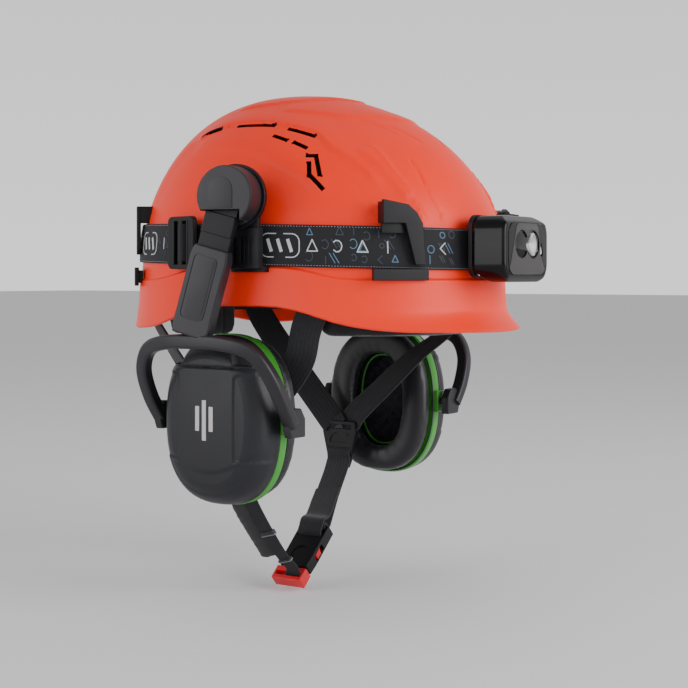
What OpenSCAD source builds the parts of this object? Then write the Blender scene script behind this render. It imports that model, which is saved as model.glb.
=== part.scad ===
// Forestry helmet: vented shell, liner, size-adjust cradle, headlamp on an elastic strap,
// swing-away ear muffs and a four-point chin strap. Millimetres.
// +Z is up, -Y is the front, -X is the wearer's right. Z = 0 is the brow plane and
// Y = 0 is the frontal plane through the ear cup pivots.

/* [Shell] */
// Half of the shell's width at the brow plane
shell_half_w = 109.5; // [107:0.5:111]
// Half of the shell's length at the brow plane
shell_half_l = 134.5; // [132:0.5:137]
// Height of the crown above the brow plane
shell_h = 128; // [125:0.5:131]
// Thickness of the shell's wall
shell_wall = 3; // [2.6:0.1:3.2]
// How far the lower skirt stands out past the dome
skirt_step = 1.8; // [1.2:0.1:2]
// Thickness of the foam liner
liner_wall = 14; // [10:1:16]

/* [Lamp] */
// Height of the elastic lamp strap
strap_h = 27; // [24:1:28]
// Width of the lamp housing
lamp_w = 62; // [58:1:66]
// Height of the lamp housing
lamp_h = 43; // [40:1:44]
// Depth of the lamp housing
lamp_d = 24; // [22:1:26]

/* [Ear muffs] */
// Half of an ear cup's width, front to back
cup_half_w = 44; // [42:0.5:45]
// Half of an ear cup's height
cup_half_h = 56; // [54:0.5:57]
// Height of the ear cup pivots
pivot_z = -94; // [-96:0.5:-93]
// Radius of the round cap over the swing pivot
hub_r = 19.2; // [19:0.1:20]
// Radius of the ear cup pivot pins
pivot_pin_r = 2.5; // [2:0.1:3]

/* [Harness] */
// Width of the chin webbing
webbing_w = 20; // [18:1:20]
// Thickness of the webbing
webbing_t = 1.8; // [1.4:0.1:2]

/* [Hidden] */
$fn = 48;

// Shell form
plan_power = 2.15;      // superellipse exponent of the outline seen from above
side_power = 2.1;       // superellipse exponent of the dome seen from the side
shell_y = -3.5;         // middle of the outline, front to back
crown_back = 15;        // how far the crown leans back
gap = 0.4;              // clearance between neighbouring pieces
around = 64;            // facets around the shell
// Height of the shell's lower edge against the angle from the front
rim_line = [[0, -36], [35, -35], [46, -33.5], [58, -29], [65, -23], [74, -18.8], [94, -18.8],
  [107, -27], [118, -34], [140, -36.5], [160, -29], [180, -25]];
// Height of the step between the dome and the skirt against the same angle
step_line = [[0, -3], [56, -3], [68, 4], [76, 5], [98, 5], [107, 1], [117, -3], [180, -5]];
// Ends of the vent slots on the left half, as [x, y, z]
vent_slots = [[[67, 48, 97], [68, 32, 101]], [[69, 15, 102], [70, 0, 102]],
  [[70, 0, 102], [71, -15, 100]], [[71, -29, 98], [70, -48, 92]], [[77, -21, 93], [78, -31, 90]],
  [[78, -38, 88], [78, -47, 84]], [[81, -51, 78], [79, -56, 78]], [[79, -56, 78], [85, -63, 65]],
  [[84, -54, 73], [88, -57, 65]], [[88, -57, 65], [88, -67, 56]]];

function power(v, p) = sign(v) * pow(abs(v), p);
function even_angle(t) = let (a = abs(((t % 360) + 360) % 360)) a > 180 ? 360 - a : a;
function soft_lookup(t, line) =
  (lookup(even_angle(t - 5), line) + 2 * lookup(even_angle(t), line) + lookup(even_angle(t + 5), line)) / 4;
function rim_z(t) = soft_lookup(t, rim_line);
function step_z(t) = soft_lookup(t, step_line);
function clamp(v, low, high) = min(max(v, low), high);
function dome_scale(z, height) =
  z > 0 ? pow(1 - pow(min(z / height, 1), side_power), 1 / side_power) : 1 + 0.02 * pow(z / 33, 2);
// How far the brim lip stands out at the front
function brim_out(t, z) = 9 * pow(max(cos(t), 0), 2.5) * pow(clamp((-z - 22) / 13, 0, 1), 1.5);
// How far the dome lies inside the skirt, fading out towards the crown
function dome_inset(t, z) = skirt_step * clamp((z - step_z(t)) / 1.5, 0, 1) * clamp((42 - z) / 30, 0, 1);
// A point on the dome: t degrees from the front towards the left, z high, moved inwards by inset
function dome_point(t, z, inset, trim = 1) =
  let (height = shell_h - inset, k = dome_scale(z, height), out = brim_out(t, z) - trim * dome_inset(t, z))
  [(shell_half_w - inset) * k * power(sin(t), 2 / plan_power) + out * sin(t),
   shell_y + crown_back * pow(clamp(z / shell_h, 0, 1), 3)
     - (shell_half_l - inset) * k * power(cos(t), 2 / plan_power) - out * cos(t), z];

// Closed skin between rows: the outside from the edge up, a pole, then the inside back down, a pole
module dome_skin(outer, inner, outer_pole, inner_pole) {
  n = len(outer[0]);
  rows = concat(outer, inner);
  m = len(rows);
  top = len(outer) - 1;
  quads = [for (i = [0:m - 1], j = [0:n - 1]) if (i != top)
    let (a = i * n + j, b = i * n + (j + 1) % n,
      c = ((i + 1) % m) * n + (j + 1) % n, d = ((i + 1) % m) * n + j)
    each [[a, c, b], [a, d, c]]];
  fans = [for (j = [0:n - 1]) let (k = (j + 1) % n)
    each [[top * n + j, m * n, top * n + k], [(top + 1) * n + k, m * n + 1, (top + 1) * n + j]]];
  polyhedron(concat([for (r = rows) each r], [outer_pole, inner_pole]), concat(quads, fans), convexity = 8);
}

// Solid through a list of closed rings, capped at both ends
module loft(rings) {
  n = len(rings[0]);
  m = len(rings);
  sides = [for (i = [0:m - 2], j = [0:n - 1])
    let (a = i * n + j, b = i * n + (j + 1) % n) each [[a, b + n, b], [a, a + n, b + n]]];
  polyhedron([for (r = rings) each r],
    concat(sides, [[for (j = [0:n - 1]) j]], [[for (j = [n - 1:-1:0]) (m - 1) * n + j]]), convexity = 8);
}

// Endless solid through a list of rings that closes on itself
module loop_loft(rings) {
  n = len(rings[0]);
  m = len(rings);
  polyhedron([for (r = rings) each r], [for (i = [0:m - 1], j = [0:n - 1])
    let (a = i * n + j, b = i * n + (j + 1) % n, c = ((i + 1) % m) * n) each
    [[a, b, c + (j + 1) % n], [a, c + (j + 1) % n, c + j]]], convexity = 8);
}

function unit(v) = v / norm(v);
// Catmull-Rom curve through points, with parts steps between two of them
function curve(p, parts) = [for (i = [0:len(p) - 2], s = [0:parts - (i == len(p) - 2 ? 0 : 1)])
  let (u = s / parts, a = p[max(i - 1, 0)], b = p[i], c = p[i + 1], d = p[min(i + 2, len(p) - 1)])
  0.5 * (2 * b + (c - a) * u + (2 * a - 5 * b + 4 * c - d) * u * u + (3 * b - a - 3 * c + d) * u * u * u)];
function heading(path, i) = unit(path[min(i + 1, len(path) - 1)] - path[max(i - 1, 0)]);
// Rectangular rings along a path; the width runs from across_a at the start to across_b at the end
function band_rings(path, width, thick, across_a, across_b) = [for (i = [0:len(path) - 1])
  let (h = heading(path, i), u = i / (len(path) - 1), w0 = across_a * (1 - u) + across_b * u,
    w = unit(w0 - (w0 * h) * h), t = cross(h, w), a = w * width / 2, b = t * thick / 2)
  [path[i] - a - b, path[i] + a - b, path[i] + a + b, path[i] - a + b]];
module band(points, width, thick, across_a, across_b, parts = 5)
  loft(band_rings(curve(points, parts), width, thick, across_a, across_b));

// Outline of an oval and of a rectangle with round corners
function oval(half_w, half_h, n = 56, p = 2.4) =
  [for (i = [0:n - 1]) let (a = 360 * i / n) [half_w * power(cos(a), 2 / p), half_h * power(sin(a), 2 / p)]];
function round_rect(w, h, r, n = 6) =
  [for (c = [[1, 1, 0], [-1, 1, 90], [-1, -1, 180], [1, -1, 270]], i = [0:n])
  let (a = c[2] + 90 * i / n) [c[0] * (w / 2 - r) + r * cos(a), c[1] * (h / 2 - r) + r * sin(a)]];

module on_right() mirror([1, 0, 0]) children();
// Local frame on the dome: +X out, +Z up, at t degrees from the front towards the left
module on_dome(t, z, tilt = 0) translate(dome_point(t, z, 0))
  rotate([0, 0, t - 90]) rotate([0, -tilt, 0]) children();
// Plate in a local frame: drawn in Y and Z, spanning x0 to x1
module plate(x0, x1) translate([x0, 0, 0]) rotate([90, 0, 90]) linear_extrude(x1 - x0) children();
// Prism drawn in X and Z and spanning y0 to y1
module prism_y(y0, y1) translate([0, y1, 0]) rotate([90, 0, 0]) linear_extrude(y1 - y0) children();
module rod_y(r, y0, y1) translate([0, y0, 0]) rotate([-90, 0, 0]) cylinder(r = r, h = y1 - y0);
module rod_x(r, x0, x1) translate([x0, 0, 0]) rotate([0, 90, 0]) cylinder(r = r, h = x1 - x0);
module block(low, high) translate(low) cube(high - low);

// ---- Shell and liner ----
skirt_rows = 5;
dome_rows = 15;
function shell_rows(inset, count) = [for (i = [0:skirt_rows]) [for (j = [0:around - 1])
    let (t = 360 * j / around, z = rim_z(t) + (step_z(t) - rim_z(t)) * i / skirt_rows)
    dome_point(t, z, inset)],
  for (i = [0:count - 1]) [for (j = [0:around - 1])
    let (t = 360 * j / around, z0 = step_z(t) + 1.5,
      z = z0 + (shell_h - inset - z0) * sin(86 * i / (count - 1)))
    dome_point(t, z, inset)]];
function crown_point(inset) = [0, shell_y + crown_back, shell_h - inset];
function backwards(list) = [for (i = [len(list) - 1:-1:0]) list[i]];

// Slot cutters for both halves, each from one point to the next and right through the wall
module vent_cutters(r, depth) for (side = [1, -1], s = vent_slots)
  let (m = (s[0] + s[1]) / 2, n = unit(m - [0, 0, 25]))
  mirror([side < 0 ? 1 : 0, 0, 0])
    hull() for (e = s, d = [4, -depth]) translate(e + d * n) sphere(r, $fn = 6);

module muff_slot() block([100, -38.5, 2.4], [120, -11.5, 6.6]);

module shell() color("orangered") difference() {
  dome_skin(shell_rows(0, dome_rows), backwards(shell_rows(shell_wall, dome_rows - 3)),
    crown_point(0), crown_point(shell_wall));
  vent_cutters(1.3, 7);
  muff_slot();
  on_right() muff_slot();
}

liner_z = 10;     // lower edge of the liner
liner_rows = 10;
liner_gap = 0.9;  // between the shell and the liner
function liner_row_set(inset, count) = [for (i = [0:count - 1]) [for (j = [0:around / 2 - 1])
  let (t = 720 * j / around, z = liner_z + (shell_h - inset - liner_z) * sin(84 * i / (count - 1)))
  dome_point(t, z, inset)]];
module impact_liner() color("dimgray") difference() {
  dome_skin(liner_row_set(shell_wall + liner_gap, liner_rows),
    backwards(liner_row_set(shell_wall + liner_gap + liner_wall, liner_rows - 2)),
    crown_point(shell_wall + liner_gap), crown_point(shell_wall + liner_gap + liner_wall));
  vent_cutters(3.5, 24);
}

// ---- Headband, pads and nape cradle ----
band_x = 82;        // half width of the headband, outside
band_front = 104;   // from the headband's centre to its front, outside
band_y = -6;        // centre of the headband's front curve
band_wall = 1.6;
band_low = -28;     // lower edge over the brow
band_side_low = -17; // lower edge beside the ears
band_top = -6;
brow_turn = 62;     // half angle of the brow pad and of the deep part of the band
hanger_reach = 17;
band_end = 58;      // rear end of the headband's straight sides
// Open curve of the headband, drawn round the front from one side to the other
function front_arc(a, b, from, to, n = 28) =
  [for (i = [0:n]) let (t = from + (to - from) * i / n) [a * sin(t), band_y - b * cos(t)]];
function ribbon_2d(outer, inner) = concat(outer, backwards(inner));

// Part of the band's front curve from one angle to another
module band_arc(from, to) polygon(ribbon_2d(front_arc(band_x, band_front, from, to),
  front_arc(band_x - band_wall, band_front - band_wall, from, to)));

module headband() color("#26272b") {
  translate([0, 0, band_low]) linear_extrude(band_top - band_low) band_arc(-brow_turn, brow_turn);
  translate([0, 0, band_side_low]) linear_extrude(band_top - band_side_low) {
    band_arc(-90, 90);
    for (x = [-band_x, band_x - band_wall]) translate([x, band_y]) square([band_wall, band_end - band_y]);
  }
  // Hangers that carry the band on the shell's inner wall
  for (s = [-1, 1], y = [-20, 34])
    translate([s > 0 ? band_x - 0.5 : -band_x - hanger_reach, y, band_top - 3])
      cube([hanger_reach + 0.5, 14, 3]);
}

pad_wrap = 5;       // how far the brow pad's lower lip reaches out under the headband
pad_low = -40;      // lower edge of the brow pad
module brow_ring(out, in) polygon(ribbon_2d(
  front_arc(band_x + out, band_front + out, -brow_turn, brow_turn),
  front_arc(band_x - in, band_front - in, -brow_turn, brow_turn)));
module brow_pad() color("#17181b") translate([0, 0, pad_low]) {
  linear_extrude(band_top - pad_low) brow_ring(-2, 10.5);
  linear_extrude(band_low - pad_low - 0.6) brow_ring(pad_wrap, 3);
}

module crown_pads() color("#17181b") for (x = [-40, 0, 40])
  translate([x, 4, abs(x) > 0 ? 82 : 95]) rotate([0, x * 0.62, 0])
    linear_extrude(6) polygon(round_rect(28, 84, 13));

cradle_x = band_x - band_wall - 0.5;  // outside of the cradle's side arms
cradle_wall = 1.8;
cradle_start = 30;  // front end of the cradle's arms
cradle_bend = 68;
cradle_depth = 34;
function rear_arc(a, b, n = 24) =
  [for (i = [0:n]) let (t = 90 - 180 * i / n) [a * sin(t), cradle_bend + b * cos(t)]];
knob_z = -28;
module nape_cradle() color("#26272b") difference() {
  union() {
    translate([0, 0, -26]) linear_extrude(18) {
      polygon(ribbon_2d(rear_arc(cradle_x, cradle_depth),
        rear_arc(cradle_x - cradle_wall, cradle_depth - cradle_wall)));
      for (x = [-cradle_x, cradle_x - cradle_wall])
        translate([x, cradle_start]) square([cradle_wall, cradle_bend - cradle_start]);
    }
    translate([0, 115, knob_z]) prism_y(-13, 0) polygon(round_rect(48, 30, 8));
  }
  translate([0, 0, knob_z]) rod_y(3.05, 100, 120);
  translate([0, 0, knob_z]) rod_y(9, 104, 112.5);
}
module nape_pad() color("#17181b") translate([0, 97.6, knob_z])
  prism_y(-7, 0) polygon(round_rect(52, 34, 9));
module size_knob() color("#1c1d20") translate([0, 0, knob_z]) difference() {
  union() {
    rod_y(14.5, 115.4, 125);
    rod_y(3, 103.9, 116);
    for (i = [0:15]) rotate([0, 22.5 * i, 0]) translate([14.3, 0, 0]) rod_y(1, 116, 124);
  }
  rod_y(9, 123.4, 126);
}
module knob_pinion() color("silver") translate([0, 0, knob_z]) difference() {
  union() {
    rod_y(4.6, 105, 111.5);
    for (i = [0:9]) rotate([0, 36 * i, 0]) translate([4.8, 0, 0]) rod_y(0.9, 105, 111.5);
  }
  rod_y(3, 104, 112);
}

// ---- Lamp strap, clips and adjuster ----
strap_mid = 20.5;
strap_steps = 60;
function strap_middle(t) = strap_mid - 3.5 * cos(t);
function strap_ring(t, in_off, out_off) =
  [for (e = [[-1, in_off], [-1, out_off], [0, out_off], [1, out_off], [1, in_off], [0, in_off]])
    dome_point(t, strap_middle(t) + e[0] * strap_h / 2, -e[1])];
module lamp_strap() color("#202228")
  loop_loft([for (i = [0:strap_steps - 1]) strap_ring(360 * i / strap_steps, 0.9, 2.3)]);

module front_clip() on_dome(35, 16) {
  plate(4.4, 8) polygon([[17, 32], [17, 17], [2, 17], [-5, -9], [-12, -9], [-10, 17], [-6, 24], [0, 29]]);
  plate(3, 6) polygon([[-19, -11.8], [19, -11.8], [19, -19], [-19, -19]]);
}
module front_lamp_clips() color("#1d1e21") { front_clip(); on_right() front_clip(); }
module rear_clip() on_dome(136, 23) {
  plate(3.2, 6) polygon([[-6, 26], [6, 26], [6, -4], [3, -8], [-3, -8], [-6, -4]]);
  plate(0.4, 3.3) polygon([[-6, 26], [6, 26], [6, 18.5], [-6, 18.5]]);
  plate(4.6, 7.4) polygon([[-8, -17], [8, -17], [5, -30], [-5, -30]]);
}
module rear_lamp_clips() color("#1d1e21") { rear_clip(); on_right() rear_clip(); }
adjuster_turn = 103;       // from the front, in degrees
module lamp_strap_adjuster() color("#1d1e21") on_right() on_dome(adjuster_turn, 22) difference() {
  plate(3.5, 7.4) polygon(round_rect(28, 35, 4));
  for (y = [-6.5, 2.5]) block([2, y, -14.5], [8, y + 4, 14.5]);
}

// ---- Headlamp ----
lamp_back = -143.5;
lamp_z = 17.5;             // middle height of the lamp
tilt_y = -147.5;           // tilt axis
tilt_z = 1.5;
lamp_front = lamp_back - lamp_d;
lamp_wall = 2;
lug_x = 22;
module lamp_bracket() color("#1d1e21") difference() {
  union() {
    translate([0, 0, lamp_z + 1.5]) prism_y(-142.8, -139.4) polygon(round_rect(56, 41, 8));
    for (x = [-lug_x, lug_x]) translate([x - 2, tilt_y, tilt_z]) {
      rod_x(3.4, 0, 4);
      block([0, 0, -1.5], [4, 6, 3.4]);
    }
  }
  for (x = [-25.5, 22]) block([x, -150, 3], [x + 3.5, -138, 33]);
  translate([0, tilt_y, tilt_z]) rod_x(1.5, -30, 30);
}
module lamp_tilt_pin() color("silver") translate([0, tilt_y, tilt_z]) rod_x(1.5, -26.5, 26.5);

// Side outline of the lamp in Y and Z, inset by w
function lamp_side(w) = [[lamp_back - w, lamp_z + lamp_h / 2 - w], [lamp_front + 7, lamp_z + lamp_h / 2 - w],
  [lamp_front + w, lamp_z + lamp_h / 2 - 5 - w], [lamp_front + w, lamp_z - lamp_h / 2 + 3 + w],
  [lamp_front + 3 + w, lamp_z - lamp_h / 2 + w], [tilt_y - 5.5, lamp_z - lamp_h / 2 + w],
  [lamp_back - w, tilt_z + 2.5 + w]];
module lamp_body(w, half) plate(-half + w, half - w) polygon(lamp_side(w));
module lamp_outline(w) translate([0, 0, lamp_z])
  prism_y(lamp_front - 1, lamp_back + 1) polygon(round_rect(lamp_w - 2 * w, lamp_h - 2 * w, 12 - w));
module lamp_housing() color("#232427") difference() {
  intersection() { lamp_body(0, lamp_w / 2); lamp_outline(0); }
  intersection() {
    lamp_body(lamp_wall, lamp_w / 2);
    lamp_outline(lamp_wall);
    block([-40, lamp_front - 2, 9], [40, lamp_back - 2, 50]);
  }
  translate([0, 0, lamp_z]) prism_y(lamp_front - 2, lamp_front + 2.2)
    polygon(round_rect(lamp_w - 10, lamp_h - 10, 8));
  for (x = [-lug_x, lug_x]) block([x - 2.5, tilt_y - 4, -6], [x + 2.5, lamp_back + 1, tilt_z + 4.2]);
  translate([0, tilt_y, tilt_z]) rod_x(1.56, -27, 27);
  block([-9.3, lamp_back - 14.3, 33], [9.3, lamp_back - 5.7, 42]);
}
module lamp_front_cover() color("#3a3b3f") translate([0, 0, lamp_z]) difference() {
  prism_y(lamp_front, lamp_front + 2) polygon(round_rect(lamp_w - 10.6, lamp_h - 10.6, 7.7));
  for (x = [-8.5, 8.5]) translate([x, 0, 3]) rod_y(8.3, lamp_front - 1, lamp_front + 3);
}
module lamp_reflectors() color("gainsboro") translate([0, 0, lamp_z + 3]) for (x = [-8.5, 8.5])
  translate([x, 0, 0]) difference() {
    rod_y(7.9, lamp_front + 0.4, lamp_front + 9);
    rotate([90, 0, 0]) translate([0, 0, -lamp_front - 7]) cylinder(r1 = 2, r2 = 7, h = 7);
  }
module lamp_button() color("#2c2d30") block([-9, lamp_back - 14, 35.4], [9, lamp_back - 6, 40.6]);
module lamp_circuit_board() color("darkgreen") block([-26, lamp_front + 10, 12], [26, lamp_front + 11.6, 34]);
module lamp_battery() color("royalblue") block([-22, lamp_front + 12.4, 11], [22, lamp_back - 2.6, 29]);

// ---- Ear muffs, drawn on the left ----
hub_face = [135, -24.3, 50.6];
hub_turn = 12;              // how far the pivot axis turns towards the front
flip_at = [-8, 3, -6];      // flip hinge in the hub's frame
arm_lean = 15;              // backward lean of the arm
arm_out = -2.5;             // outward lean of the arm
module hub_frame() translate(hub_face) rotate([0, 0, -hub_turn]) children();
module flip_frame() hub_frame() translate(flip_at) children();
module arm_frame() flip_frame() rotate([arm_lean, arm_out, 0]) children();

module muff_adapter() color("#1c1d20") difference() {
  union() {
    hub_frame() rod_x(hub_r + 1.8, -19.8, -16.4);
    block([111.6, -38, 1], [117, -12, 30.9]);
    block([111.6, -36, 28], [115, -10, 46]);
    block([104, -38, 2.6], [112, -12, 6.4]);
  }
  hub_frame() rod_x(4, -30, -10);
}
module hub_axle() color("silver") hub_frame() { rod_x(4, -19.8, -13); rod_x(7, -13.8, -12.6); }
module hub_cap() color("#303136") hub_frame() difference() {
  rod_x(hub_r, -16, 0);
  rod_x(4.06, -17, -10);
  rod_x(7.3, -14.1, -10);
  block([-12.3, -11, -26], [-3.2, 16.8, -0.8]);
  block([-5, -11, -26], [1, 16.8, -8.6]);
  translate(flip_at) rod_y(1.5, -16, 16);
}
module flip_pin() color("silver") flip_frame() rod_y(1.5, -15.4, 15.4);
blade_w = 22;
blade_end = 62;
module arm_blade() color("#303136") difference() {
  union() {
    flip_frame() rod_y(3.9, -blade_w / 2, blade_w / 2);
    arm_frame() block([-2, -blade_w / 2, -blade_end], [2, blade_w / 2, 0]);
  }
  flip_frame() rod_y(1.56, -16, 16);
}
lever_top = 28;
lever_end = 86;
// Path of the yoke's front half from the arm to the pivot
yoke_half = [[135, 0, -42], [134, 24, -43], [130, 42, -48], [124, 52, -62], [114, 55, -80], [104, 54, -92]];
yoke_path = concat([for (i = [len(yoke_half) - 1:-1:1])
  [yoke_half[i][0], -yoke_half[i][1], yoke_half[i][2]]], yoke_half);
pivot_x = 97;
module yoke_end() {
  block([pivot_x - 5, 50.5, pivot_z - 9], [108, 57, pivot_z + 5]);
  translate([pivot_x, 0, pivot_z]) rod_y(pivot_pin_r, cup_half_w - 2, 51);
}
module arm_yoke() color("#303136") {
  difference() {
    arm_frame() translate([0, 0, -lever_end]) linear_extrude(lever_end - lever_top)
      polygon([[-4.5, -13], [3, -14], [4.5, -12], [4.5, 12], [3, 14], [-4.5, 13]]);
    arm_frame() block([-2.35, -blade_w / 2 - 0.35, -lever_end + 6], [2.35, blade_w / 2 + 0.35, 0]);
  }
  loft(band_rings(curve(yoke_path, 3), 7, 9, [1, 0, 0], [1, 0, 0]));
  yoke_end();
  mirror([0, 1, 0]) yoke_end();
}
ring_in = 93;
ring_out = 100.5;
module cup_ring() color("#4f9a3c") difference() {
  union() {
    translate([0, 0, pivot_z]) plate(ring_in, ring_out) polygon(oval(cup_half_w, cup_half_h));
    for (s = [0, 1]) mirror([0, s, 0])
      block([ring_in, 40, pivot_z - 8], [ring_out, cup_half_w + 3, pivot_z + 8]);
  }
  translate([0, 0, pivot_z]) plate(ring_in - 1, ring_out + 1) polygon(oval(cup_half_w - 7, cup_half_h - 7));
  translate([pivot_x, 0, pivot_z]) rod_y(pivot_pin_r + 0.06, -60, 60);
}
// Depth stations of the cup: [x, scale of the width, scale of the height]
cup_stations = [[100.8, 0.99, 0.99], [108, 0.98, 0.98], [115, 0.92, 0.93], [120, 0.83, 0.85],
  [123.5, 0.7, 0.73]];
function cup_ring_at(x, a, b) = [for (p = oval(a, b, 40)) [x, p[0], pivot_z + p[1]]];
module cup_shell() color("#2c2d32") difference() {
  loft([for (s = cup_stations) cup_ring_at(s[0], cup_half_w * s[1], cup_half_h * s[2])]);
  loft([for (s = cup_stations) cup_ring_at(s[0] - 2.6, cup_half_w * s[1] - 2.6, cup_half_h * s[2] - 2.6)]);
}
module cup_foam() color("#141416") translate([0, 0, pivot_z]) plate(103, 113) polygon(oval(32, 44, 40));
cushion_in = 78;
module cushion() color("#1b1c20") translate([0, 0, pivot_z]) difference() {
  union() {
    plate(cushion_in + 3, ring_in - gap) polygon(oval(cup_half_w, cup_half_h - 1, 48));
    plate(cushion_in, cushion_in + 4) polygon(oval(cup_half_w - 4, cup_half_h - 5, 48));
  }
  plate(cushion_in - 1, ring_in + 1) polygon(oval(20, 34, 40));
}

// ---- Chin strap harness ----
divider_at = [65, 22, -122];
left_front_top = [80, -84, -6];
right_front_top = [-84, -64, -2];
rear_top = [63, 97, -4];
buckle_at = [-24, 2, -208];
buckle_rise = 42;           // climb of the buckle towards the left
module buckle_frame() translate(buckle_at) rotate([0, -buckle_rise, 0]) children();
strap_drop = [0, 0, 9];   // from the middle of an anchor to the strap below it
module front_strap(top, ways, foot, across) color("#1d1e23")
  band(concat([top - strap_drop], ways, [foot]), webbing_w, webbing_t, across, [0, 1, 0.6]);
strap_foot = [65.6, 6, -101.5];   // lower end of a front strap, at the divider
module left_front_strap() front_strap(left_front_top,
  [[77, -66, -38], [66, -42, -60], [65.5, -12, -86]], strap_foot, [0.59, 0.81, 0]);
module right_front_strap() front_strap(right_front_top,
  [[-82.5, -51, -34], [-68, -34, -58], [-65.5, -10, -85]],
  [-strap_foot[0], strap_foot[1], strap_foot[2]], [-0.5, 0.86, 0]);
module rear_strap() color("#1d1e23") band([rear_top - strap_drop, [63, 95.2, -32], [64, 34.5, -103.4]],
  webbing_w, webbing_t, [0.79, -0.61, 0], [0, -1, 0.6]);
module strap_divider() color("#202126") translate(divider_at) difference() {
  plate(-2.2, 2.2) polygon([[-14, 12], [14, 12], [15, 4], [11, -13], [-11, -13], [-15, 4]]);
  plate(-3, 3) polygon([[-11, 9.5], [11, 9.5], [11, 6], [-11, 6]]);
  plate(-3, 3) polygon([[-10, -10.5], [10, -10.5], [10, -6.5], [-10, -6.5]]);
}
module left_chin_strap() color("#1d1e23")
  band([[63, 21.6, -137.4], [53, 18, -145.6], [30, 11, -163], [8.2, 3, -178.6]],
    webbing_w, webbing_t, [0, 1, 0], [0, 1, 0]);
pad_strap = [[-64.4, 15, -136], [-58, 12, -156], [-43, 2, -188], [-33, -4, -203]];
narrow_w = 11;              // webbing that lies beside the chin pad
module right_chin_strap() color("#1d1e23") band(pad_strap, narrow_w, webbing_t, [0, 1, 0], [0, 1, 0]);
pad_run = [[-60, 28, -148], [-54, 24.2, -164], [-42.6, 16.1, -187], [-38, 13, -196]];
module chin_pad() color("#1a1b1f") band(pad_run, 13, 6, [0, 1, 0], [0, 1, 0]);
module strap_keepers() color("#6a6c72") for (i = [4, 8, 12])
  let (run = curve(pad_strap, 5), a = run[i], b = run[i + 1], m = a + (b - a) * 0.45) difference() {
    loft(band_rings([a, m], narrow_w + 1.4, webbing_t + 1.6, [0, 1, 0], [0, 1, 0]));
    loft(band_rings([a - (m - a), m + (m - a)], narrow_w + 0.4, webbing_t + 0.6, [0, 1, 0], [0, 1, 0]));
  }

module buckle_fork() color("#d3202c") buckle_frame() difference() {
  union() {
    block([-9, -12.5, -4.5], [2, 12.5, 4.5]);
    block([1, -2.4, -1.5], [24, 2.4, 1.5]);
  }
  block([-6, -10.6, -6], [-2.6, 10.6, 6]);
}
module plate_z(z0, z1) translate([0, 0, z0]) linear_extrude(z1 - z0) children();
// Wing on the +Y side of the fork
module wing() buckle_frame() plate_z(-2, 2)
  polygon([[2.4, 6.4], [2.4, 9.4], [14.5, 9.4], [15.5, 12.6], [20, 12.6], [24, 10], [24, 7.6], [14, 6.4]]);
module rear_wing() color("#d3202c") wing();
module front_wing() color("#d3202c") translate([0, 2 * buckle_at[1], 0]) mirror([0, 1, 0]) wing();
module buckle_socket() color("#1f2024") buckle_frame() difference() {
  plate_z(-4.4, 4.4) polygon([[3.2, -11.6], [3.2, 11.6], [12, 12.3], [40, 12.3], [40, -12.3], [12, -12.3]]);
  block([2, -10.3, -2.4], [26.5, 10.3, 2.4]);
  block([13.6, -14, -2.4], [25.4, 14, 2.4]);
  for (x = [29.5, 35]) block([x, -10.4, -6], [x + 3, 10.4, 6]);
}
module anchor() difference() {
  block([-2.8, -13.5, -6], [2.8, 13.5, 6]);
  block([-1.5, -10.8, -7], [1.5, 10.8, 3]);
}
module strap_anchors() color("#202126") {
  translate(left_front_top) rotate([0, 0, -36]) anchor();
  translate(right_front_top) rotate([0, 0, 30]) anchor();
  translate(rear_top) rotate([0, 0, 52]) anchor();
  on_right() translate(rear_top) rotate([0, 0, 52]) anchor();
}

shell();
impact_liner();
headband();
brow_pad();
crown_pads();
strap_anchors();
nape_cradle();
nape_pad();
size_knob();
knob_pinion();
front_lamp_clips();
rear_lamp_clips();
lamp_strap();
lamp_strap_adjuster();
lamp_bracket();
lamp_tilt_pin();
lamp_housing();
lamp_front_cover();
lamp_reflectors();
lamp_button();
lamp_battery();
lamp_circuit_board();
on_right() muff_adapter();  // right_muff_adapter
muff_adapter();  // left_muff_adapter
on_right() hub_axle();  // right_hub_axle
hub_axle();  // left_hub_axle
on_right() hub_cap();  // right_hub_cap
hub_cap();  // left_hub_cap
on_right() flip_pin();  // right_flip_pin
flip_pin();  // left_flip_pin
on_right() arm_blade();  // right_arm_blade
arm_blade();  // left_arm_blade
on_right() arm_yoke();  // right_arm_yoke
arm_yoke();  // left_arm_yoke
on_right() cup_ring();  // right_cup_ring
cup_ring();  // left_cup_ring
on_right() cup_shell();  // right_cup_shell
cup_shell();  // left_cup_shell
on_right() cup_foam();  // right_cup_foam
cup_foam();  // left_cup_foam
on_right() cushion();  // right_cushion
cushion();  // left_cushion
right_front_strap();
left_front_strap();
on_right() rear_strap();  // right_rear_strap
rear_strap();  // left_rear_strap
on_right() strap_divider();  // right_strap_divider
strap_divider();  // left_strap_divider
right_chin_strap();
left_chin_strap();
chin_pad();
strap_keepers();
buckle_fork();
buckle_socket();
front_wing();
rear_wing();
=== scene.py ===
import math
import random

import bmesh
import bpy
import numpy as np
from mathutils import Matrix, Vector


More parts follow.
